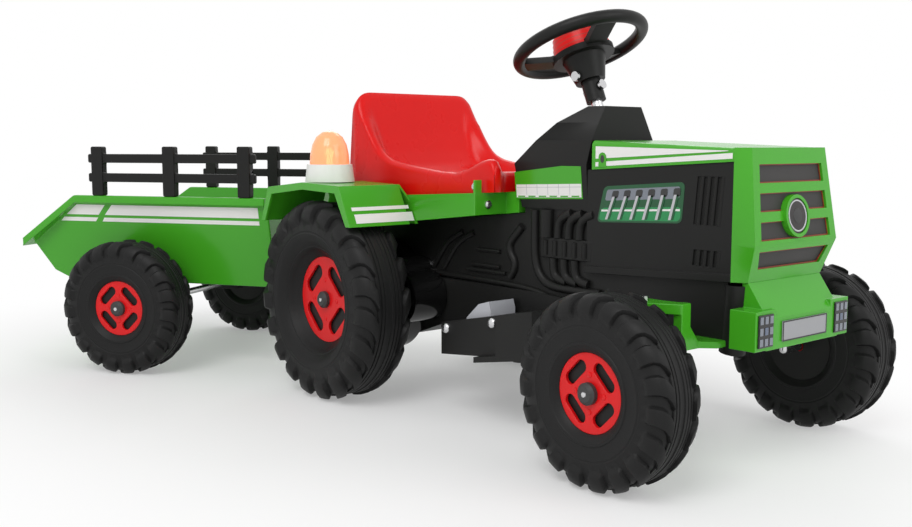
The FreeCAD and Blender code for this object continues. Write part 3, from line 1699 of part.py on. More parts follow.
# Beacon


def beacon():
    """A round base on the right fender, an amber dome and the bulb inside it."""
    foot = d.fender_crown_height
    x, y = d.beacon_x, -d.beacon_y
    base = doc.addObject("Part::Cone", "beacon_cone")
    bind(base, Radius1=d.beacon_radius, Radius2=d.beacon_top_radius, Height=d.beacon_height)
    keep("beacon_base", group("beacon_base", base), x, y, foot)
    outer = new_body("dome_skin")
    dome_points = dome_outline(d.dome_radius, d.dome_height)
    inner_points = dome_outline(d.dome_radius - d.dome_wall, d.dome_height - d.dome_wall)
    feature = outer.newObject("PartDesign::Revolution", "dome_turned")
    sketch = outline(outer, "XZ", dome_points + inner_points[::-1], ZERO)
    feature.Profile = sketch
    feature.ReferenceAxis = (sketch, ["V_Axis"])
    feature.Angle = 360
    keep("beacon_dome", outer, x, y, foot + d.beacon_height)
    bulb = fuse(
        "beacon_bulb",
        rod("bulb_stem", d.bulb_radius * 0.7, (ZERO, ZERO, ZERO), d.bulb_height * 0.6, "Z"),
        bulb_globe(),
    )
    keep("beacon_bulb", bulb, x, y, foot + d.beacon_height)


def bulb_globe():
    globe = doc.addObject("Part::Sphere", "bulb_globe")
    bind(globe, Radius=d.bulb_radius)
    set_base(globe, ZERO, ZERO, d.bulb_height - d.bulb_radius)
    return globe


DOME_SHARES = [(1, 0), (0.96, 0.3), (0.86, 0.58), (0.66, 0.81), (0.36, 0.95), (0, 1)]


def dome_outline(radius, height):
    return [(radius * r, height * z) for r, z in DOME_SHARES]


# Hitch and trailer


def hitch():
    """A forked bracket on the shell's rear face, and the pin through it."""
    low = d.drawbar_top - d.drawbar_thick - d.gap - d.hitch_plate
    high = d.drawbar_top + d.gap + d.hitch_plate
    rear = hitch_x - d.drawbar_eye
    half = d.hitch_half
    block = box("hitch_block", (rear, d.body_rear), (-half, half), (low, high))
    throat = box("hitch_throat", (rear - d.overrun, d.body_rear - d.hitch_plate),
                 (-half - d.overrun, half + d.overrun), (low + d.hitch_plate, high - d.hitch_plate))
    bore = d.hitch_pin_radius + d.fit
    hole = rod("hitch_hole", bore, (hitch_x, ZERO, low - d.overrun), high - low + d.overrun * 2, "Z")
    keep("hitch_bracket", cut("hitch_bracket", block, throat, hole))
    length = high - low + d.hitch_pin_tail
    shank = rod("hitch_shank", d.hitch_pin_radius, (ZERO, ZERO, ZERO), length, "Z")
    head = rod("hitch_head", d.hitch_pin_head, (ZERO, ZERO, length), d.hitch_pin_head_height, "Z")
    keep("hitch_pin", fuse("hitch_pin", shank, head), hitch_x, ZERO, low - d.hitch_pin_tail)


def tub_outline(inset, top):
    """Side view of the trailer's tub, inside its wall."""
    return [
        (-d.tub_front - inset, tub_floor + inset),
        (-d.tub_front - inset, top),
        (-d.tub_rear, top),
        (inset - d.tub_tip, d.tub_tip_height + (top - d.tub_rim_height)),
        (inset - d.tub_back, d.tub_back_height + inset),
        (inset - d.tub_heel, tub_floor + inset),
    ]


def trailer_tub():
    """A flared tub with a turned rim that slants down to the tail."""
    wall = d.tub_wall
    rim = d.tub_rim_height

    def flare(inset, top_room):
        grow = (d.tub_half - d.tub_low_half) / (rim - tub_floor)
        high_half = d.tub_half - inset + top_room * grow
        return [(inset - d.tub_low_half, tub_floor + inset), (d.tub_low_half - inset, tub_floor + inset),
                (high_half, rim + top_room), (-high_half, rim + top_room)]

    far = d.tub_tip + d.overrun
    outer = common("tub_outer", prism("tub_side", "XZ", tub_outline(ZERO, rim), -d.tub_half, d.tub_half),
                   prism("tub_front_view", "YZ", flare(ZERO, ZERO), -far, ZERO))
    line = [(-d.tub_front, rim), (-d.tub_rear, rim), (-d.tub_tip, d.tub_tip_height)]
    band = line + [(x, z - d.tub_rim) for x, z in reversed(line)]
    rim_band = prism("tub_rim", "XZ", band, -d.tub_rim_half, d.tub_rim_half)
    high = rim + d.overrun
    reach = d.tub_half + d.overrun
    inner = common("tub_inner", prism("tub_room_side", "XZ", tub_outline(wall, high), -reach, reach),
                   prism("tub_room_front", "YZ", flare(wall, d.overrun), -far, ZERO))
    keep_trailer("trailer_tub", cut("trailer_tub", fuse("tub_solid", outer, rim_band), inner))


def trailer_frame():
    """A drawbar under the tub with the hitch eye, two axle blocks and the axle."""
    low = d.drawbar_top - d.drawbar_thick
    axle_x = -d.trailer_axle_behind
    tail = axle_x - d.drawbar_tail
    bar = box("drawbar", (tail, ZERO), (-d.drawbar_half, d.drawbar_half), (low, d.drawbar_top))
    eye = rod("drawbar_eye", d.drawbar_half, (ZERO, ZERO, low), d.drawbar_thick, "Z")
    cross = box("drawbar_cross", (axle_x - d.axle_block, axle_x + d.axle_block),
                (-d.axle_block_half, d.axle_block_half), (low, d.drawbar_top))
    blocks = []
    for side in (-1, 1):
        y = d.axle_block_half * side
        blocks.append(box("axle_block", (axle_x - d.axle_block, axle_x + d.axle_block),
                          (y - d.axle_block_width / 2, y + d.axle_block_width / 2),
                          (d.front_radius - d.axle_block / 2, d.drawbar_top)))
    half = d.trailer_half_track + d.front_hub_face + d.axle_reach
    pin = rod("eye_hole", d.hitch_pin_radius + d.fit, (ZERO, ZERO, low - d.overrun), d.overrun * 3, "Z")
    bore = rod("block_bore", d.axle_radius + d.fit, (axle_x, -half, d.front_radius), half * 2, "Y")
    solid = fuse("drawbar_solid", bar, eye, cross, *blocks)
    keep_trailer("trailer_drawbar", cut("trailer_drawbar", solid, pin, bore))
    axle = group("axle_rod", rod("axle_bar", d.axle_radius, (ZERO, -half, ZERO), half * 2, "Y"))
    keep_trailer("trailer_axle", axle, axle_x, ZERO, d.front_radius)
    caps = [
        placed_cap("trailer_cap", ZERO, (half - d.cap_depth * 0.75) * side, ZERO, side)
        for side in (-1, 1)
    ]
    keep_trailer("trailer_axle_caps", group("trailer_axle_caps", *caps), axle_x, ZERO, d.front_radius)
    for word, side in (("right", -1), ("left", 1)):
        y = d.trailer_half_track * side
        rubber = tyre(f"trailer_tyre_{word}", d.front_radius, d.front_width, d.front_rim, d.front_hub_face)
        keep_trailer(f"trailer_tyre_{word}", group(f"trailer_rubber_{word}", rubber),
                     axle_x, y, d.front_radius)
        keep_trailer(f"trailer_hub_{word}",
                     group(f"trailer_disc_{word}",
                           hub(f"trailer_hub_{word}", d.front_width, d.front_rim, d.front_hub_face)),
                     axle_x, y, d.front_radius)


def fences():
    """Three posts and two rails along each side of the tub, as one moulding a side."""
    foot = d.tub_rim_height
    for word, side in (("right", -1), ("left", 1)):
        y = (d.tub_rim_half - d.post_inset) * side
        half = d.post_width / 2
        pieces = []
        for i in range(3):
            x = -d.post_first - d.post_pitch * i
            pieces.append(box("fence_post", (x - half, x + half),
                              (y - d.post_thick / 2, y + d.post_thick / 2), (foot, foot + d.fence_height)))
        ends = (-d.post_first - d.post_pitch * 2 - d.rail_over, d.rail_over - d.post_first)
        for low in (d.rail_low, d.rail_high):
            pieces.append(box("fence_rail", ends, (y - d.rail_thick / 2, y + d.rail_thick / 2),
                              (foot + low, foot + low + d.rail_height)))
        keep_trailer(f"fence_{word}", fuse(f"fence_{word}", *pieces))


# The whole part


def check_and_write():
    """Stop on any failed object, then write each piece to its own file."""
    doc.recompute()
    failed = [obj.Name for obj in doc.Objects if {"Invalid", "Error"} & set(obj.State)]
    if failed:
        raise SystemExit(f"failed objects: {failed}")
    for obj in PARTS:
        if obj.Shape.isNull() or not obj.Shape.isValid() or not obj.Shape.Solids:
            raise SystemExit(f"bad shape: {obj.Label}")
    os.makedirs("parts", exist_ok=True)
    for obj in PARTS:
        obj.Shape.exportStep(f"parts/{obj.Label}.step")
    whole = FreeCAD.BoundBox()
    for obj in PARTS:
        whole.add(obj.Shape.BoundBox)
    print(len(PARTS), "pieces", whole)


front_and_rear_wheels()
rear_axle()
body_shells()
fender_deck()
seat()
hood()
hood_sides()
nose()
dash_cowl()
steering_wheel()
steering_column()
column_bolts()
horn()
front_axle_beam()
knuckles()
tie_rod()
front_bumper()
footrests()
pedal()
screws()
gears()
gearbox()
battery()
beacon()
hitch()
trailer_tub()
trailer_frame()
fences()
check_and_write()
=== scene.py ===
import json
import math

import bmesh
import bpy
from mathutils import Matrix, Vector


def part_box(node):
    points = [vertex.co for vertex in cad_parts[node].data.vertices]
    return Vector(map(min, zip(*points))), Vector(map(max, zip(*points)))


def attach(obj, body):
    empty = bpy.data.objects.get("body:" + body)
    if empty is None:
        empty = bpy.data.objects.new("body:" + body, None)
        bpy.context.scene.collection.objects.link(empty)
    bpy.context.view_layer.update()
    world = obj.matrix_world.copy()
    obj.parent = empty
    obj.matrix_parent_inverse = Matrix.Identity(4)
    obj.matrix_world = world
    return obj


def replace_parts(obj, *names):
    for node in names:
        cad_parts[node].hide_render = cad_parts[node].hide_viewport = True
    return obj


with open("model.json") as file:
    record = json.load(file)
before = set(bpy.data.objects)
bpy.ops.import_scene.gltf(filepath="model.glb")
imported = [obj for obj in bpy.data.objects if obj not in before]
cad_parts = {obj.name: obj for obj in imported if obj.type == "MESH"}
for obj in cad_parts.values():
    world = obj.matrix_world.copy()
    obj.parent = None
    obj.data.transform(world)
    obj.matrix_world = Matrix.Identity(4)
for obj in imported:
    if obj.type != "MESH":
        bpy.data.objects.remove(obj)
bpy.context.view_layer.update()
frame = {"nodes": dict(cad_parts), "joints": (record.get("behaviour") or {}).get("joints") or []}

NODES = frame["nodes"]
MM = 0.001
SIDES = ((-1, "right"), (1, "left"))


def middle(node):
    """Middle of a CAD node's box."""
    low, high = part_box(node)
    return (low + high) / 2


# The tractor's own frame stands on the ground under the rear axle, the trailer's under the hitch pin
REAR = middle("rear_axle")
HITCH = middle("hitch_pin")
JOINTS = {joint["name"]: joint for joint in frame["joints"]}
TRAILER_AXLE = JOINTS["trailer_wheel_right_spin"]["axis"]
YAW = math.atan2(-TRAILER_AXLE[0], TRAILER_AXLE[1])
STEER_JOINT = JOINTS["steering_turn"]
TRACTOR = Matrix.Translation((REAR.x, REAR.y, 0)) @ Matrix.Scale(MM, 4)
TRAILER = Matrix.Translation((HITCH.x, HITCH.y, 0)) @ Matrix.Rotation(YAW, 4, "Z") @ Matrix.Scale(MM, 4)
STEER_TILT = math.atan2(-STEER_JOINT["axis"][0], STEER_JOINT["axis"][2])
STEERING = (
    Matrix.Translation(STEER_JOINT["pos_m"]) @ Matrix.Rotation(-STEER_TILT, 4, "Y") @ Matrix.Scale(MM, 4)
)


# Materials

# The grain's depth is in metres, and the shine varies by UNEVEN either way
COAT_ROUGH = 0.06
GRAIN_DEEP = 0.0006
UNEVEN = 0.12
UNEVEN_SCALE = 18


def material(
    name, color, rough, metal=0.0, coat=0.0, grain=0.0, grain_size=300, glow=0.0, clear=0.0, shine=0.5
):
    """A plastic or metal with a fine moulded grain and a slight unevenness in its shine."""
    made = bpy.data.materials.new(name)
    made.use_nodes = True
    nodes = made.node_tree.nodes
    links = made.node_tree.links
    shader = nodes["Principled BSDF"]
    shader.inputs["Base Color"].default_value = (*color, 1)
    shader.inputs["Metallic"].default_value = metal
    shader.inputs["Specular IOR Level"].default_value = shine
    shader.inputs["Coat Weight"].default_value = coat
    shader.inputs["Coat Roughness"].default_value = COAT_ROUGH
    shader.inputs["Transmission Weight"].default_value = clear
    if glow:
        shader.inputs["Emission Color"].default_value = (*color, 1)
        shader.inputs["Emission Strength"].default_value = glow
    place = nodes.new("ShaderNodeTexCoord")
    noise = nodes.new("ShaderNodeTexNoise")
    noise.inputs["Scale"].default_value = UNEVEN_SCALE
    noise.inputs["Detail"].default_value = 3
    links.new(place.outputs["Object"], noise.inputs["Vector"])
    spread = nodes.new("ShaderNodeMapRange")
    spread.inputs["To Min"].default_value = rough * (1 - UNEVEN)
    spread.inputs["To Max"].default_value = min(1.0, rough * (1 + UNEVEN))
    links.new(noise.outputs["Fac"], spread.inputs["Value"])
    links.new(spread.outputs["Result"], shader.inputs["Roughness"])
    if grain:
        fine = nodes.new("ShaderNodeTexNoise")
        fine.inputs["Scale"].default_value = grain_size
        links.new(place.outputs["Object"], fine.inputs["Vector"])
        bump = nodes.new("ShaderNodeBump")
        bump.inputs["Strength"].default_value = grain
        bump.inputs["Distance"].default_value = GRAIN_DEEP
        links.new(fine.outputs["Fac"], bump.inputs["Height"])
        links.new(bump.outputs["Normal"], shader.inputs["Normal"])
    return made


GREEN = material("green", (0.058, 0.38, 0.016), 0.24, coat=0.08, shine=0.35)
RED = material("red", (0.74, 0.004, 0.003), 0.28, shine=0.25)
HUB_RED = material("hub_red", (0.74, 0.004, 0.006), 0.35, shine=0.35)
BLACK = material("black", (0.012, 0.012, 0.0115), 0.42, grain=0.12, shine=0.2)
GLOSS_BLACK = material("gloss_black", (0.006, 0.006, 0.006), 0.15, coat=0.2, shine=0.4)
TYRE = material("tyre", (0.011, 0.011, 0.011), 0.5, grain=0.2, grain_size=420, shine=0.2)
WHITE = material("white", (0.86, 0.85, 0.83), 0.35)
SILVER = material("silver", (0.5, 0.5, 0.52), 0.28, metal=0.9)
STEEL = material("steel", (0.62, 0.62, 0.63), 0.25, metal=1.0)
GREY = material("grey", (0.52, 0.53, 0.57), 0.42, grain=0.1)
MID_GREY = material("mid_grey", (0.05, 0.05, 0.05), 0.5, shine=0.3)
GRILLE = material("grille", (0.046, 0.043, 0.043), 0.55, grain=0.3, grain_size=900, shine=0.3)
DARK_RED = material("dark_red", (0.34, 0.035, 0.02), 0.4)
PLATE = material("plate", (0.33, 0.335, 0.35), 0.35)
AMBER = material("amber", (0.92, 0.42, 0.2), 0.15, glow=0.3, clear=0.25)
BULB = material("bulb", (1.0, 0.86, 0.62), 0.3, glow=9.0)
NATURAL = material("natural", (0.7, 0.68, 0.6), 0.45)
DEEP_GREEN = material("deep_green", (0.004, 0.085, 0.025), 0.3)
LEAF = material("leaf", (0.012, 0.26, 0.075), 0.3)
PALE = material("pale", (0.55, 0.56, 0.58), 0.35)
LAMP_GREY = material("lamp_grey", (0.19, 0.21, 0.25), 0.2, coat=0.3)
LAMP_BLUE = material("lamp_blue", (0.10, 0.13, 0.20), 0.2, coat=0.3)

NODE_LOOKS = {
    GREEN: "hood nose_grille front_bumper fender_deck front_axle_beam trailer_tub",
    RED: "horn_button",
    HUB_RED: "front_hub_right front_hub_left rear_hub_right rear_hub_left trailer_hub_right trailer_hub_left",
    BLACK: "body_shell_right body_shell_left hood_side_right hood_side_left dash_cowl footrest_right"
    " footrest_left steering_wheel fence_right fence_left hitch_bracket trailer_drawbar pedal_switch"
    " horn_switch",
    GLOSS_BLACK: "gearbox_housing headlights",
    MID_GREY: "front_cap_right front_cap_left rear_axle_caps trailer_axle_caps battery",
    GRILLE: "grille_panels",
    WHITE: "beacon_base",
    AMBER: "beacon_dome",
    BULB: "beacon_bulb",
    STEEL: "pan_head_screws drive_motor rear_axle hitch_pin steering_column column_bolts knuckle_right"
    " knuckle_left tie_rod trailer_axle",
    PLATE: "number_plate",
    NATURAL: "drive_gear idler_gear motor_pinion",
    GREY: "accelerator_pedal",
}
# Width of the rounding on a CAD node's edges, in millimetres
PLAIN_ROUND = 1.0
EDGE_ROUND = {
    "hood_side_right": 0.8,
    "hood_side_left": 0.8,
    "nose_grille": 3.0,
    "hood": 1.0,
    "grille_panels": 0.3,
    "trailer_tub": 2.5,
    "fender_deck": 2.5,
    "front_bumper": 3.0,
    "footrest_right": 4.0,
    "footrest_left": 4.0,
    "gearbox_housing": 4.0,
    "body_shell_right": 3.0,
    "body_shell_left": 3.0,
    "steering_wheel": 2.5,
    "fence_right": 2.5,
    "fence_left": 2.5,
    "accelerator_pedal": 2.0,
    "front_axle_beam": 2.5,
    "horn_button": 0.4,
}
# Least angle in degrees of an edge that is rounded, and the one node with a width and an angle of its own
PLAIN_ANGLE = 32
SOFT_EDGES = {"dash_cowl": (14.0, 9)}
# In metres
WELD_WITHIN = 0.00002


def dress(node, look):
    """Give a CAD piece its material, rounded edges and clean shading."""
    piece = NODES[node]
    piece.data.materials.clear()
    piece.data.materials.append(look)
    for face in piece.data.polygons:
        face.use_smooth = True
        face.material_index = 0
    weld = piece.modifiers.new("weld", "WELD")
    weld.merge_threshold = WELD_WITHIN
    width, angle = SOFT_EDGES.get(node, (EDGE_ROUND.get(node, PLAIN_ROUND), PLAIN_ANGLE))
    bevel = piece.modifiers.new("round", "BEVEL")
    bevel.width = width * MM
    bevel.segments = 4
    bevel.limit_method = "ANGLE"
    bevel.angle_limit = math.radians(angle)
    bevel.harden_normals = True
    shade = piece.modifiers.new("shade", "WEIGHTED_NORMAL")
    shade.keep_sharp = True


for look, names in NODE_LOOKS.items():
    for node in names.split():
        dress(node, look)


# Drawing helpers


def add(name, data):
    """A new object in the scene."""
    piece = bpy.data.objects.new(name, data)
    bpy.context.scene.collection.objects.link(piece)
    return piece


def finish_mesh(name, build, look, body, smooth=True, angle=None):
    """Turn a bmesh into a piece that rides on a body."""
    bmesh.ops.recalc_face_normals(build, faces=build.faces)
    data = bpy.data.meshes.new(name)
    build.to_mesh(data)
    build.free()
    piece = add(name, data)
    data.materials.append(look)
    for face in data.polygons:
        face.use_smooth = smooth
    if angle:
        data.set_sharp_from_angle(angle=math.radians(angle))
    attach(piece, body)
    return piece


def thicken(build, faces, way):
    """Grow faces into a solid."""
    grown = bmesh.ops.extrude_face_region(build, geom=faces)
    moved = [v for v in grown["geom"] if isinstance(v, bmesh.types.BMVert)]
    bmesh.ops.translate(build, verts=moved, vec=way)


def plate(name, place, points, thick, look, body, round_by=0.0):
    """A thin plate on a flat face: the points run round its outline, and it grows along their normal."""
    build = bmesh.new()
    corners = [place @ Vector(p) for p in points]
    normal = (corners[1] - corners[0]).cross(corners[2] - corners[0]).normalized()
    face = build.faces.new([build.verts.new(c) for c in corners])
    thicken(build, [face], normal * thick * MM)
    piece = finish_mesh(name, build, look, body, smooth=False)
    if round_by:
        bevel = piece.modifiers.new("round", "BEVEL")
        bevel.width = round_by * MM
        bevel.segments = 3
        bevel.harden_normals = True
        for face in piece.data.polygons:
            face.use_smooth = True


def pipe(name, place, points, radius, look, body):
    """A round pipe through the points."""
    data = bpy.data.curves.new(name, "CURVE")
    data.dimensions = "3D"
    data.bevel_depth = radius * MM
    data.bevel_resolution = 5
    data.use_fill_caps = True
    spline = data.splines.new("NURBS")
    spline.points.add(len(points) - 1)
    for point, spot in zip(spline.points, points):
        point.co = (*(place @ Vector(spot)), 1)
    spline.use_endpoint_u = True
    spline.order_u = 3
    data.materials.append(look)
    piece = add(name, data)
    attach(piece, body)


def disc(name, place, centre, axis, rings, look, body, steps=40, hollow=False):
    """A turned piece about an axis: rings are (radius, height along the axis)."""
    build = bmesh.new()
    axis = Vector(axis).normalized()
    side = axis.orthogonal().normalized()
    other = axis.cross(side)
    loops = []
    for radius, height in rings:
        loop = []
        for i in range(steps):
            turn = 2 * math.pi * i / steps
            spot = Vector(centre) + axis * height + (side * math.cos(turn) + other * math.sin(turn)) * radius
            loop.append(build.verts.new(place @ spot))
        loops.append(loop)
    for near, far in zip(loops, loops[1:] + loops[:1] if hollow else loops[1:]):
        for i in range(steps):
            j = (i + 1) % steps
            build.faces.new((near[i], near[j], far[j], far[i]))
    if not hollow:
        build.faces.new(loops[0])
        build.faces.new(loops[-1])
    finish_mesh(name, build, look, body, angle=35)


def band(inner, outer, low, thick):
    """Rings of a flat hollow disc."""
    return [(inner, low), (outer, low), (outer, low + thick), (inner, low + thick)]


# Tyres: slanted lugs over each shoulder that fade out on the sidewall, and a ribbed band between them

LUGS = 19
PITCH = 360 / LUGS
LUG_HEIGHT = 0.085
# Share of the pitch, and how far the lug stands up there
LUG_SHAPE = [
    (0.0, 0.0), (0.03, 0.5), (0.07, 0.92), (0.12, 1.0), (0.34, 1.0),
    (0.56, 1.0), (0.61, 0.92), (0.65, 0.5), (0.69, 0.0), (0.84, 0.0),
]
# Share of the depth, of the width, of the lug's height, and the lug's lead in degrees
SHOULDER = [
    (0.32, 0.455, 0.0, 9),
    (0.42, 0.468, 0.0, 9),
    (0.435, 0.458, 0.0, 9),
    (0.455, 0.458, 0.0, 9),
    (0.47, 0.466, 0.0, 9),
    (0.58, 0.45, 0.0, 9),
    (0.625, 0.44, 0.5, 9),
    (0.68, 0.43, 0.95, 9),
    (0.77, 0.405, 1.0, 9),
    (0.845, 0.37, 1.0, 8.5),
    (0.89, 0.325, 1.0, 7),
    (0.91, 0.28, 1.0, 4),
    (0.915, 0.235, 1.0, 0),
    (0.915, 0.228, 0.0, 0),
]
# Share of the depth and of the width along the ribbed band, which ends at RIB_EDGE
RIBS = [
    (0.938, 0.222), (0.946, 0.215), (0.946, 0.175), (0.93, 0.169), (0.93, 0.16), (0.948, 0.154),
    (0.948, 0.11), (0.932, 0.104), (0.932, 0.095), (0.95, 0.088), (0.95, 0.04), (0.934, 0.033), (0.934, 0.0),
]
RIB_EDGE = 0.225
# Share of the depth, and the ring's height as a share of the width, beside the hub
BEAD = [(0.0, 0.0), (0.08, 0.0), (0.12, 0.0), (0.135, 0.014), (0.18, 0.014), (0.195, 0.0)]
BEAD_FLARE = 0.09


def tyre_rows(depth, width, rim, face):
    """Half a tyre's section from the hub to the middle: radius, breadth, lug height and lead."""
    start = face / width
    wall_end, wall_across, _, wall_lead = SHOULDER[0]
    rows = []
    for share, ridge in BEAD:
        cone = start + share
        if share > BEAD_FLARE:
            part = (share - BEAD_FLARE) / (wall_end - BEAD_FLARE)
            cone = start + BEAD_FLARE + (wall_across - BEAD_FLARE - start) * part
        rows.append((rim + depth * share, width * (cone + ridge), 0.0, wall_lead))
    for share, across, lug, lead in SHOULDER:
        rows.append((rim + depth * share, width * across, depth * LUG_HEIGHT * lug, lead))
    for share, across in RIBS:
        rows.append((rim + depth * share, width * across, 0.0, PITCH / 4 * (1 - across / RIBS[0][1])))
    return rows


def tyre(node, body, place, radius, width, rim, face):
    """One tyre about the local Y axis, standing in for the plain CAD tyre."""
    centre = place.inverted() @ middle(node)
    half = tyre_rows(radius - rim, width, rim, face)
    rows = [(reach, -across, lug, lead) for reach, across, lug, lead in half]
    rows += [(reach, across, lug, PITCH / 2 + (lead if across > width * RIB_EDGE else -lead))
             for reach, across, lug, lead in reversed(half[:-1])]
    build = bmesh.new()
    loops = []
    for k, (reach, across, lug, lead) in enumerate(rows):
        before = rows[max(k - 1, 0)]
        behind = rows[min(k + 1, len(rows) - 1)]
        slope = Vector((before[1] - behind[1], behind[0] - before[0])).normalized()
        loop = []
        for i in range(LUGS):
            for share, rise in LUG_SHAPE:
                turn = math.radians(PITCH * (i + share) + lead)
                out = reach - slope.x * lug * rise
                wide = across - slope.y * lug * rise
                spot = Vector((out * math.cos(turn), wide, out * math.sin(turn)))
                loop.append(build.verts.new(place @ (centre + spot)))
        loops.append(loop)
    for near, far in zip(loops, loops[1:] + loops[:1]):
        for i in range(len(near)):
            j = (i + 1) % len(near)
            build.faces.new((near[i], near[j], far[j], far[i]))
    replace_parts(finish_mesh(f"{node}_treaded", build, TYRE, body, angle=38), node)


# Rings of a stud and of the axle's end: radius, and height over the hub's outer face
STUD = [(3.6, -0.1), (3.3, 0.7), (2.4, 1.0)]
STUD_SHARE = 0.46
AXLE_END = [(3.4, 9.2), (3.0, 10.1), (1.2, 10.5)]
AXLE_ROOM = {"front": 7, "rear": 14.6, "trailer": 7}
# Dark sheets of painted shade: the back lies inside the hub, behind its slots, and the cover stands out from
# the inner face and laps the rim, both painting the shade inside the hollow hub
SHEET = 0.8
BACK_DEPTH = 6.5
BACK_BORE = 16.5
BACK_GAP = 0.4
COVER_OUT = 0.9
COVER_LAP = 0.3


def over(face, rings):
    """Rings moved up from a face."""
    return [(radius, face + height) for radius, height in rings]


def hub_details(axle, word, body, holder, place, side, rim, face):
    """A hub's dark sheets of painted shade, four studs on its outer face, and the axle's bright end."""
    name = f"{axle}_hub_{word}"
    centre = place.inverted() @ middle(name)
    out = (0, side, 0)
    # Both sheets are black to paint the shade inside the hollow hub
    for part, rings in (
        ("back", band(BACK_BORE, rim - BACK_GAP, face - BACK_DEPTH, SHEET)),
        ("cover", band(AXLE_ROOM[axle], rim + COVER_LAP, -face - COVER_OUT, SHEET)),
    ):
        disc(f"{name}_{part}", place, centre, out, rings, BLACK, body, hollow=True)
    for i in range(4):
        turn = math.pi / 2 * i
        spot = centre + Vector((math.cos(turn), 0, math.sin(turn))) * rim * STUD_SHARE
        disc(f"{name}_stud_{i}", place, spot, out, over(face, STUD), HUB_RED, body, steps=16)
    disc(f"{name}_axle_end", place, centre, out, over(face, AXLE_END), STEEL, holder, steps=16)


# Axle, frame, the tyre's width, the hub's radius and half the hub's width
for axle, place, width, rim, face in (
    ("front", TRACTOR, 75, 47, 27),
    ("rear", TRACTOR, 95, 67, 15),
    ("trailer", TRAILER, 75, 47, 27),
):
    for side, word in SIDES:
        low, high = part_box(f"{axle}_tyre_{word}")
        radius = (high.z - low.z) / 2 / MM
        body = f"{axle}_wheel_{word}"
        tyre(f"{axle}_tyre_{word}", body, place, radius, width, rim, face)
        holder = {"front": f"knuckle_{word}_body", "rear": "tractor", "trailer": "trailer"}[axle]
        hub_details(axle, word, body, holder, place, side, rim, face)


# Seat: one smooth moulding over the deck

# Side views of the seat's bolsters and of its pan, from the back's rear edge to the front
BACK_RIM = [(-61, 468), (-60, 475), (-56, 480), (-51, 476)]
BOLSTER = BACK_RIM + [
    (-44, 460), (-35, 440), (-26, 426), (-16, 412), (-5, 398), (7, 386), (21, 377), (40, 370), (65, 365.5),
    (111, 360), (160, 355), (193, 354), (219, 359.5), (252, 372), (268, 374.5), (277, 371), (282.5, 359),
]
PAN = BACK_RIM + [
    (-47, 466), (-42, 448), (-33, 415), (-20, 384), (-4, 360), (20, 346), (60, 340), (110, 338), (195, 346),
    (243, 355), (263, 356), (269.5, 350),
]
SEAT_HALF = 125
SEAT_ROWS = 60
SEAT_ACROSS = [0, 20, 40, 58, 72, 82, 89, 95, 100, 105, 110, 114, 117, 120, 122.5, 124.3, SEAT_HALF]
# The pan rises into the bolster between these, and the bolster's outer edge rolls over
RISE_FROM = 90
RISE_TO = 115
ROLL = 9
# The back's two upper corners are rounded off
CORNER_FROM = 88
CORNER_LOW = 430
CORNER_TALL = 50
CORNER_DROP = 20
# How far the walls lean on their way down to the deck
BACK_LEAN = 14
SIDE_LEAN = 2
DECK_REAR = -118
DECK_REAR_HEIGHT = 307
DECK_SLOPE = 0.05276


def by_length(line, count):
    """Points evenly spread along a line."""
    lengths = [0.0]
    for a, b in zip(line, line[1:]):
        lengths.append(lengths[-1] + math.dist(a, b))
    made = []
    for k in range(count):
        want = lengths[-1] * k / (count - 1)
        i = max(j for j in range(len(line) - 1) if lengths[j] <= want + 1e-9)
        part = (want - lengths[i]) / (lengths[i + 1] - lengths[i])
        made.append(tuple(a + (b - a) * part for a, b in zip(line[i], line[i + 1])))
    return made


def smooth_step(low, high, value):
    """0 below low, 1 above high, and a smooth rise between them."""
    part = min(1.0, max(0.0, (value - low) / (high - low)))
    return part * part * (3 - 2 * part)


def deck_height(x):
    """Top of the deck under the seat."""
    return DECK_REAR_HEIGHT + (x - DECK_REAR) * DECK_SLOPE


def seat_spot(pan, bolster, y):
    """A point of the seat's upper side, between a point of the pan and one of the bolster."""
    reach = abs(y)
    part = smooth_step(RISE_FROM, RISE_TO, reach)
    x = pan[0] + (bolster[0] - pan[0]) * part
    z = pan[1] + (bolster[1] - pan[1]) * part
    edge = max(0.0, reach - (SEAT_HALF - ROLL)) / ROLL
    drop = ROLL * (1 - math.sqrt(max(0.0, 1 - edge * edge)))
    back = max(0.0, (z - CORNER_LOW) / CORNER_TALL)
    corner = max(0.0, reach - CORNER_FROM) / (SEAT_HALF - CORNER_FROM)
    return Vector((x, y, z - drop - CORNER_DROP * back * corner ** 3))


def seat():
    """The upper side as a grid, with walls from its four edges down to the deck."""
    build = bmesh.new()

    def on_deck(x, y):
        return build.verts.new(TRACTOR @ Vector((x, y, deck_height(x))))

    pan = by_length(PAN, SEAT_ROWS)
    bolster = by_length(BOLSTER, SEAT_ROWS)
    widths = [-y for y in reversed(SEAT_ACROSS[1:])] + SEAT_ACROSS
    spots = [[seat_spot(low, high, y) for y in widths] for low, high in zip(pan, bolster)]
    grid = [[build.verts.new(TRACTOR @ spot) for spot in line] for line in spots]
    for near, far in zip(grid, grid[1:]):
        for k in range(len(widths) - 1):
            build.faces.new((near[k], near[k + 1], far[k + 1], far[k]))
    feet = {}
    for column, side in ((0, -1), (-1, 1)):
        foot = [on_deck(x, side * (SEAT_HALF - SIDE_LEAN)) for x, z in bolster]
        for r in range(SEAT_ROWS - 1):
            build.faces.new((grid[r][column], grid[r + 1][column], foot[r + 1], foot[r]))
        feet[column] = foot
    rear = [on_deck(spot.x - BACK_LEAN, spot.y) for spot in spots[0]]
    front = [feet[0][-1], *[on_deck(spot.x, spot.y) for spot in spots[-1][1:-1]], feet[-1][-1]]
    for column, foot in feet.items():
        build.faces.new((grid[0][column], foot[0], rear[column]))
    for line, low in ((grid[0], rear), (grid[-1], front)):
        for k in range(len(widths) - 1):
            build.faces.new((line[k], line[k + 1], low[k + 1], low[k]))
    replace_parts(finish_mesh("seat_moulding", build, RED, "tractor", angle=50), "seat")


seat()


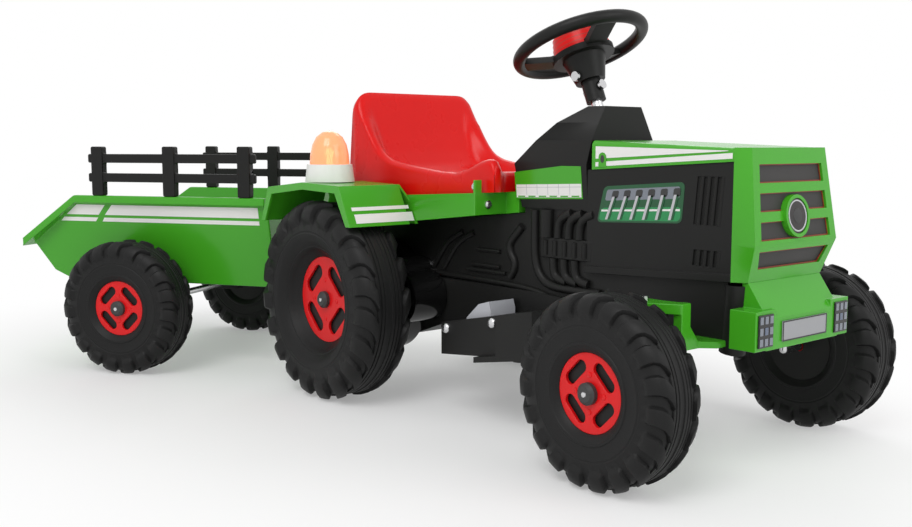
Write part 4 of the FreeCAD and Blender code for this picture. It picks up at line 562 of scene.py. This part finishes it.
# Flat colours on the mouldings

PRINT = 0.35
HOOD_SIDE = 88


def mirrored(points):
    """An outline on the other side, run the other way round so that its plate still grows outward."""
    return [(x, -y, z) for x, y, z in reversed(points)]


def pair(name, place, points, thick, look, body):
    """A plate on the right side and its mirror on the left; points go (x, y, z) on the right."""
    plate(f"{name}_right", place, points, thick, look, body)
    plate(f"{name}_left", place, mirrored(points), thick, look, body)


def both_sides(name, points, thick, look):
    """A pair of plates on the tractor."""
    pair(name, TRACTOR, points, thick, look, "tractor")


def lift(points, by):
    """Points moved out from the right side."""
    return [(x, y - by, z) for x, y, z in points]


def hood_skin(x, share):
    """A point on the hood's side strip: share 0 at its bottom edge, 1 at its top edge."""
    part = (x - 430) / 218
    low = 362 + 13 * part
    high = 400 - 9 * part
    return (x, -HOOD_SIDE, low + (high - low) * share)


for name, corners in (
    ("hood_stripe_wide", ((437, 0.37), (640, 0.74), (640, 0.78), (437, 0.8))),
    ("hood_stripe_thin", ((437, 0.1), (646, 0.22), (646, 0.62), (437, 0.25))),
):
    both_sides(name, [hood_skin(x, share) for x, share in corners], PRINT, WHITE)

BADGE_X = 449
BADGE_HALF = 6.5
BADGE_LOW = 365.5
BADGE_THICK = 0.8


def badge_arc(y, z, wide, tall, last):
    """Points of an oval on the badge, from the front round by way of the top."""
    turns = [math.radians(t) for t in range(0, last, 30)]
    return [(BADGE_X + wide * math.cos(turn), y, z + tall * math.sin(turn)) for turn in turns]


arch = [(BADGE_X + way * BADGE_HALF, -HOOD_SIDE, BADGE_LOW) for way in (-1, 1)]
arch += badge_arc(-HOOD_SIDE, 378, BADGE_HALF, BADGE_HALF, 181)
both_sides("hood_badge", arch, BADGE_THICK, GREEN)
oval = badge_arc(-HOOD_SIDE - BADGE_THICK, 376, 3.2, 5, 360)
both_sides("hood_badge_oval", oval, 0.3, MID_GREY)

# The cowl's green panel, a white band printed on it, and the band's ribs and dashes
PANEL = [(285, 318), (413, 323), (411, 366), (376, 366), (284, 356)]
PANEL_THICK = 0.5
BAND_REAR = 287
BAND_LONG = 124
BAND_FRONT = BAND_REAR + BAND_LONG
BAND_TOP = 338.5
BAND_RISE = 4.5
BAND_PARTS = 6
ON_BAND = PANEL_THICK + PRINT
RIB_THICK = 0.1


def cowl_skin(x, z):
    """A point on the cowl's right side."""
    return (x, -(84 + 4 * (z - 307) / 61), z)


def cowl_band(name, low_x, high_x, low_z, high_z, by, thick, look):
    """A patch of the printed band along the cowl's lower edge, which rises to the front."""
    corners = ((low_x, low_z), (high_x, low_z), (high_x, high_z), (low_x, high_z))
    points = [cowl_skin(x, z + BAND_RISE * (x - BAND_REAR) / BAND_LONG) for x, z in corners]
    both_sides(name, lift(points, by), thick, look)


both_sides("cowl_panel", [cowl_skin(x, z) for x, z in PANEL], PANEL_THICK, GREEN)
cowl_band("cowl_white", BAND_REAR, BAND_FRONT, 320.5, BAND_TOP, PANEL_THICK, PRINT, WHITE)
cowl_band("cowl_rib_long", BAND_REAR, BAND_FRONT, 334, 334.8, ON_BAND, RIB_THICK, PALE)
for i in range(BAND_PARTS):
    x = BAND_REAR + BAND_LONG * i / BAND_PARTS
    cowl_band(f"cowl_dash_{i}", x + 3, x + 17, 321, 322.8, ON_BAND, RIB_THICK, GREEN)
    if i:
        cowl_band(f"cowl_rib_{i}", x - 0.5, x + 0.5, 324, BAND_TOP, ON_BAND, RIB_THICK, PALE)


# A plain engine picture on the hood's side panels: six silver tubes with dark caps on a grey head, over a
# green field and a white line

ART_SIDE = 86
ART_TUBES = 6


def rounded(low_u, low_v, high_u, high_v, by_u, by_v):
    """A rectangle with rounded corners."""
    left, right = low_u + by_u, high_u - by_u
    low, high = low_v + by_v, high_v - by_v
    corners = ((right, low, -90), (right, high, 0), (left, high, 90), (left, low, 180))
    turns = [(u, v, math.radians(start + 30 * step)) for u, v, start in corners for step in range(4)]
    return [(u + by_u * math.cos(turn), v + by_v * math.sin(turn)) for u, v, turn in turns]


def slanted(u, wide):
    """A narrow strip up the picture that leans forward."""
    return [(u, 0.08), (u + wide, 0.08), (u + wide + 0.04, 0.7), (u + 0.04, 0.7)]


def art_spot(u, v):
    """A point of the picture: u goes forward and v up, both from 0 to 1."""
    rear_x, rear_z = 439 + 12 * v, 294 + 47 * v
    front_x, front_z = 575 + 4 * v, 300 + 50 * v
    return (rear_x + (front_x - rear_x) * u, -ART_SIDE, rear_z + (front_z - rear_z) * u)


def art(name, corners, thick, by, look):
    """A flat piece of the picture, this far out from the panel."""
    both_sides(name, lift([art_spot(u, v) for u, v in corners], by), thick, look)


art("art_field", rounded(0, 0, 1, 1, 0.05, 0.13), 0.3, 0, DEEP_GREEN)
art("art_low", rounded(0.02, 0.05, 0.98, 0.4, 0.04, 0.1), 0.1, 0.3, LEAF)
art("art_head", rounded(0.05, 0.6, 0.95, 0.9, 0.02, 0.06), 0.2, 0.3, LAMP_GREY)
art("art_line", [(0.03, 0.3), (0.97, 0.3), (0.97, 0.35), (0.03, 0.35)], 0.2, 0.4, WHITE)
for i in range(ART_TUBES):
    u = 0.08 + 0.15 * i
    art(f"art_tube_{i}", slanted(u + 0.02, 0.03), 0.4, 0.6, SILVER)
    art(f"art_shade_{i}", slanted(u + 0.05, 0.025), 0.3, 0.6, DEEP_GREEN)
    cap = rounded(u + 0.05, 0.66, u + 0.13, 0.86, 0.02, 0.05)
    art(f"art_cap_{i}", cap, 0.3, 0.6, MID_GREY)


# White bands on the fenders and the tub


def fender_stripe(name, low_z, high_z, inner, outer):
    """A white band across the sloping front of each fender."""
    corners = ((outer, low_z), (inner, low_z), (inner, high_z), (outer, high_z))
    points = [(113 - 28 * (z - 275) / 59, -y, z) for y, z in corners]
    both_sides(name, points, PRINT, WHITE)


fender_stripe("fender_band_thin", 298, 303, 136, 240)
fender_stripe("fender_band_wide", 280, 293, 132, 238)


def tub_skin(x, z):
    """A point on the tub's right side."""
    half = 156 + 30 * (z - 150) / 155
    return (x, -half, z)


for name, corners in (
    ("tub_band_top", ((-440, 270), (-133, 270), (-133, 288), (-423, 288))),
    ("tub_band_low", ((-447, 258), (-133, 258), (-133, 265), (-442, 265))),
    ("tub_band_tail", ((-521, 270), (-453, 270), (-437, 288), (-497, 288))),
    ("tub_band_tail_low", ((-535, 258), (-461, 258), (-455, 265), (-527, 265))),
):
    pair(name, TRAILER, [tub_skin(x, z) for x, z in corners], PRINT, WHITE, "trailer")


# Grille frames, emblem, lamps and number plate

# The nose bulges forward from its lower and upper edges to a knee, and the grille plate is sunk into it
NOSE_LOW = 236
NOSE_KNEE = 280
NOSE_HIGH = 391
NOSE_EDGE = 664
NOSE_BULGE = 14.5
GRILLE_SUNK = 4
WINDOW_TOP = 372
WINDOW_TALL = 21.5
WINDOW_PITCH = 33
WINDOW_HALF = 65.5
WINDOW_SPREAD = 8
FRAME_WIDE = 1.3
FRAME_THICK = 0.8


def grille_front(z):
    """Front of the grille plate at a height."""
    edge = NOSE_LOW if z < NOSE_KNEE else NOSE_HIGH
    return NOSE_EDGE + NOSE_BULGE * (z - edge) / (NOSE_KNEE - edge) - GRILLE_SUNK


def window_frame(name, low, high, low_half, high_half):
    """A thin dark red frame just inside one of the grille's windows."""
    build = bmesh.new()
    corners = ((-low_half, low), (low_half, low), (high_half, high), (-high_half, high))
    outline = [Vector((grille_front(z), y, z)) for y, z in corners]
    centre = sum(outline, Vector()) / len(outline)
    outer = []
    inner = []
    for spot in outline:
        pull = [math.copysign(FRAME_WIDE, gap) for gap in (centre.y - spot.y, centre.z - spot.z)]
        outer.append(build.verts.new(TRACTOR @ spot))
        inner.append(build.verts.new(TRACTOR @ (spot + Vector((0, *pull)))))
    for i in range(len(outline)):
        j = (i + 1) % len(outline)
        build.faces.new((outer[i], outer[j], inner[j], inner[i]))
    thicken(build, list(build.faces), Vector((FRAME_THICK * MM, 0, 0)))
    finish_mesh(name, build, DARK_RED, "tractor", smooth=False)


def window_half(z):
    """Half the width of the upper windows at a height."""
    return WINDOW_HALF + (WINDOW_TOP - z) * WINDOW_SPREAD / (2 * WINDOW_PITCH + WINDOW_TALL)


for i in range(3):
    high = WINDOW_TOP - WINDOW_PITCH * i
    low = high - WINDOW_TALL
    window_frame(f"grille_edge_{i}", low, high, window_half(low), window_half(high))
window_frame("grille_edge_chin", 251, 272, WINDOW_HALF, WINDOW_HALF + WINDOW_SPREAD)

EMBLEM = (676.5, 0, 311)
NOSE_OUT = (NOSE_HIGH - NOSE_KNEE, 0, NOSE_BULGE)
for part, rings, look, slot, hollow in (
    ("face", [(20.8, 0.1), (20.8, 0.5), (19, 0.9)], GRILLE, "dark_grey_plastic", False),
    ("ring", [(19, 0.9), (18.8, 1.4), (17.4, 1.4), (17.2, 0.9)], PALE, "lamp_plastic", True),
    ("dot", [(9, 0.9), (8.6, 1.5), (5, 1.9)], MID_GREY, "dark_grey_plastic", False),
):
    disc(f"emblem_{part}", TRACTOR, EMBLEM, NOSE_OUT, rings, look, "tractor", hollow=hollow)

# Front of the headlights and of the number plate
LAMP_FRONT = 693
LAMP_INNER = 66
LAMP_WIDE = 29
LAMP_LOW = 165
LAMP_TALL = 38
LAMP_CELLS = 3
CELL_HALF_Y = 3.1
CELL_HALF_Z = 4.3
PLATE_HALF = 47
PLATE_LOW = 168
PLATE_HIGH = 192
PLATE_EDGE = 1.6


def front_plate(name, low_y, high_y, low_z, high_z, thick, look, slot, round_by=0.0):
    """An upright rectangle that faces forward."""
    corners = ((low_y, low_z), (high_y, low_z), (high_y, high_z), (low_y, high_z))
    points = [(LAMP_FRONT, y, z) for y, z in corners]
    plate(name, TRACTOR, points, thick, look, "tractor", round_by)


def lamp(side, word):
    """Nine grey squares in a dark lamp face, the middle one bluer."""
    for row in range(LAMP_CELLS):
        for column in range(LAMP_CELLS):
            y = side * (LAMP_INNER + LAMP_WIDE * (column + 0.5) / LAMP_CELLS)
            z = LAMP_LOW + LAMP_TALL * (row + 0.5) / LAMP_CELLS
            spans = (y - CELL_HALF_Y, y + CELL_HALF_Y, z - CELL_HALF_Z, z + CELL_HALF_Z)
            look = LAMP_BLUE if row == column == 1 else LAMP_GREY
            front_plate(f"lamp_{word}_{row}_{column}", *spans, 0.6, look, "lamp_plastic", 0.25)


for side, word in SIDES:
    lamp(side, word)
for edge, *spans in (
    ("top", -PLATE_HALF, PLATE_HALF, PLATE_HIGH - PLATE_EDGE, PLATE_HIGH),
    ("low", -PLATE_HALF, PLATE_HALF, PLATE_LOW, PLATE_LOW + PLATE_EDGE),
    ("right", -PLATE_HALF, -PLATE_HALF + PLATE_EDGE, PLATE_LOW + PLATE_EDGE, PLATE_HIGH - PLATE_EDGE),
    ("left", PLATE_HALF - PLATE_EDGE, PLATE_HALF, PLATE_LOW + PLATE_EDGE, PLATE_HIGH - PLATE_EDGE),
):
    front_plate(f"plate_edge_{edge}", *spans, 0.3, GLOSS_BLACK, "black_plastic")


# Moulded engine relief on the shell's sides

SHELL_SIDE = 82.5
BLOCK_SIDE = 81.5
BLOCK_THICK = 5
BLOCK_STUD_SIDE = 86


def black_pipe(name, y, points, radius):
    """A moulded pipe along the tractor's side: points go (x, z)."""
    pipe(name, TRACTOR, [(x, y, z) for x, z in points], radius, BLACK, "tractor")


def relief(side, word):
    """Pipes, hoses, ribs and a block with studs on one side."""

    def line(name, points, radius):
        black_pipe(f"{name}_{word}", side * SHELL_SIDE, points, radius)

    line("relief_pipe_a", [(345, 306), (345, 290), (345, 268)], 11)
    bend = [(330, 214), (352, 200), (400, 199), (445, 199)]
    line("relief_pipe_b", [(322, 304), (322, 270), (322, 240)] + bend, 6.5)
    for i in range(3):
        x = 366 + 20 * i
        line(f"relief_port_{i}", [(x, 268), (x, 285), (x + 8, 298), (x + 26, 303)], 6.5)
        line(f"relief_hose_{i}", [(x - 8, 240), (x - 8, 222), (x, 211), (x + 18, 209)], 6.5)
    hose = [(296, 280), (284, 268), (270, 254), (272, 240), (282, 228), (280, 214), (272, 206)]
    line("relief_s_hose", hose, 6)
    line("relief_ridge", [(96, 196), (200, 196), (300, 194), (345, 188), (380, 172), (400, 158)], 4)
    for i, (low, high, z) in enumerate(((200, 250, 240), (190, 250, 217), (178, 262, 209))):
        line(f"relief_rib_{i}", [(low, z), ((low + high) / 2, z + 0.5), (high, z)], 3)
    for i in range(2):
        x = 98 + 24 * i
        line(f"relief_brace_{i}", [(x, 205), (x + 20, 232), (x + 40, 252), (x + 70, 264)], 4)
    for i in range(5):
        x = 346 + 18 * i
        points = [(x, 244), (x, 254), (x, 264)]
        black_pipe(f"relief_stud_{i}_{word}", side * BLOCK_STUD_SIDE, points, 4)
    block = [(x, -BLOCK_SIDE, z) for x, z in ((336, 240), (430, 240), (430, 268), (336, 268))]
    if side > 0:
        block = mirrored(block)
    plate(f"relief_block_{word}", TRACTOR, block, BLOCK_THICK, BLACK, "tractor", 1.5)


for side, word in SIDES:
    relief(side, word)


# Painted shade: dark red rings in the grooves between the horn pad's steps

GROOVE_TALL = 1.3
for i in range(3):
    wide = 39.5 - 1.5 * i
    # A darker red ring paints the shade in each groove of the red horn pad
    rings = band(wide - 0.5, wide + 0.6, 7 * i - 5.7, GROOVE_TALL)
    name = f"horn_groove_{i}"
    disc(name, STEERING, (0, 0, 0), (0, 0, 1), rings, DARK_RED, "horn", hollow=True)


# Louvre ribs, the footrests' rounded corners and the shell's round front

LOUVRE_REAR = 599.3
LOUVRE_PITCH = 9.6
LOUVRE_SIDE = 84.8
CORNER_SIDE = 156
for side, word in SIDES:
    for bank, low, tall, lean in (("tall", 300, 57, 5), ("short", 251, 19, 1.7)):
        for i in range(4):
            x = LOUVRE_REAR + LOUVRE_PITCH * i
            points = [(x + lean * share, low + tall * share) for share in (0, 0.5, 1)]
            black_pipe(f"louvre_{bank}_{i}_{word}", side * LOUVRE_SIDE, points, 2.5)
    black_pipe(f"footrest_corner_{word}", side * CORNER_SIDE, [(337, 116), (337, 138), (337, 161)], 9)
    points = [(638, side * 66, 150), (644, side * 68, 188), (646, side * 69, 232)]
    pipe(f"shell_front_{word}", TRACTOR, points, 16, BLACK, "tractor")


# Bright domes over the footrest screws

DOME = [(7.6, 0.1), (7.6, 1.4), (6.8, 3.4), (4.6, 5), (1.5, 5.6)]
FOOTREST_SIDE = 155
for side, word in SIDES:
    for i, (x, z) in enumerate(((215, 131.4), (313.5, 151.6))):
        spot = (x, side * FOOTREST_SIDE, z)
        name = f"footrest_dome_{i}_{word}"
        disc(name, TRACTOR, spot, (0, side, 0), DOME, STEEL, "tractor", steps=24)


# Stage, in metres

FLOOR_SIZE = 30
# The floor turns plain white between these distances, the second axis counting for more
FADE_FROM = 0.6
FADE_TO = 1.35
FADE_SCALE = (1.0, 1.6, 1.0)
# How much of the plain white the floor has beside the object
FADE_LEAST = 0.3
SURROUNDINGS = 0.5
# Name, place, aim, size and power
LIGHTS = (
    ("key", (1.6, -2.6, 3.2), (0.1, 0, 0.2), 2.2, 72),
    ("fill", (3.4, 0.8, 1.8), (0.2, 0, 0.3), 2.0, 28),
    ("back", (-2.4, 2.2, 3.0), (0, 0, 0.2), 2.4, 35),
)
# The photo's view, with the camera's place and aim in the tractor's millimetres
LENS = 40.83
SENSOR = 36
EYE = (1348.8, -1094.8, 394.4)
AIM = (52.4, 0, 199.3)


def plain_view(nodes, links):
    """1 where the camera, a mirror or glass looks, and 0 for light that falls on the object."""
    path = nodes.new("ShaderNodeLightPath")
    seen = path.outputs["Is Camera Ray"]
    for ray in ("Is Glossy Ray", "Is Transmission Ray"):
        either = nodes.new("ShaderNodeMath")
        either.operation = "MAXIMUM"
        links.new(seen, either.inputs[0])
        links.new(path.outputs[ray], either.inputs[1])
        seen = either.outputs[0]
    return seen


def floor_look():
    """Pale floor with the object's shadow, which the camera sees turn plain white round about."""
    made = material("floor", (0.97, 0.97, 0.97), 0.6, shine=0.15)
    nodes = made.node_tree.nodes
    links = made.node_tree.links
    place = nodes.new("ShaderNodeTexCoord")
    squeeze = nodes.new("ShaderNodeMapping")
    squeeze.inputs["Scale"].default_value = FADE_SCALE
    links.new(place.outputs["Object"], squeeze.inputs["Vector"])
    far = nodes.new("ShaderNodeVectorMath")
    far.operation = "LENGTH"
    links.new(squeeze.outputs["Vector"], far.inputs[0])
    part = nodes.new("ShaderNodeMapRange")
    part.interpolation_type = "SMOOTHSTEP"
    part.inputs["From Min"].default_value = FADE_FROM
    part.inputs["From Max"].default_value = FADE_TO
    part.inputs["To Min"].default_value = FADE_LEAST
    links.new(far.outputs["Value"], part.inputs["Value"])
    shown = nodes.new("ShaderNodeMath")
    shown.operation = "MULTIPLY"
    links.new(part.outputs["Result"], shown.inputs[0])
    links.new(plain_view(nodes, links), shown.inputs[1])
    plain = nodes.new("ShaderNodeEmission")
    mixed = nodes.new("ShaderNodeMixShader")
    links.new(shown.outputs[0], mixed.inputs[0])
    links.new(nodes["Principled BSDF"].outputs[0], mixed.inputs[1])
    links.new(plain.outputs[0], mixed.inputs[2])
    links.new(mixed.outputs[0], nodes["Material Output"].inputs["Surface"])
    return made


def studio_world():
    """Half-bright surroundings that the camera sees as plain white."""
    world = bpy.data.worlds.new("studio")
    world.use_nodes = True
    nodes = world.node_tree.nodes
    links = world.node_tree.links
    level = nodes.new("ShaderNodeMapRange")
    level.inputs["To Min"].default_value = SURROUNDINGS
    level.inputs["To Max"].default_value = 1.0
    links.new(plain_view(nodes, links), level.inputs["Value"])
    nodes["Background"].inputs["Color"].default_value = (1, 1, 1, 1)
    links.new(level.outputs["Result"], nodes["Background"].inputs["Strength"])
    return world


def look_at(piece, spot, aim):
    """Put a light or the camera in its place, turned to its aim."""
    piece.location = spot
    piece.rotation_euler = (Vector(aim) - Vector(spot)).to_track_quat("-Z", "Y").to_euler()


def stage():
    """Floor, surroundings and lights."""
    bpy.ops.mesh.primitive_plane_add(size=FLOOR_SIZE, location=(0, 0, 0))
    floor = bpy.context.object
    floor.name = "floor"
    floor.data.materials.append(floor_look())
    bpy.context.scene.world = studio_world()
    for name, spot, aim, size, power in LIGHTS:
        data = bpy.data.lights.new(name, "AREA")
        data.shape = "SQUARE"
        data.size = size
        data.energy = power
        look_at(add(name, data), spot, aim)


def camera():
    """The camera that took the photo."""
    data = bpy.data.cameras.new("camera")
    data.lens = LENS
    data.sensor_width = SENSOR
    eye = add("camera", data)
    look_at(eye, TRACTOR @ Vector(EYE), TRACTOR @ Vector(AIM))
    bpy.context.scene.camera = eye


stage()
camera()
bpy.context.scene.view_settings.view_transform = "Standard"
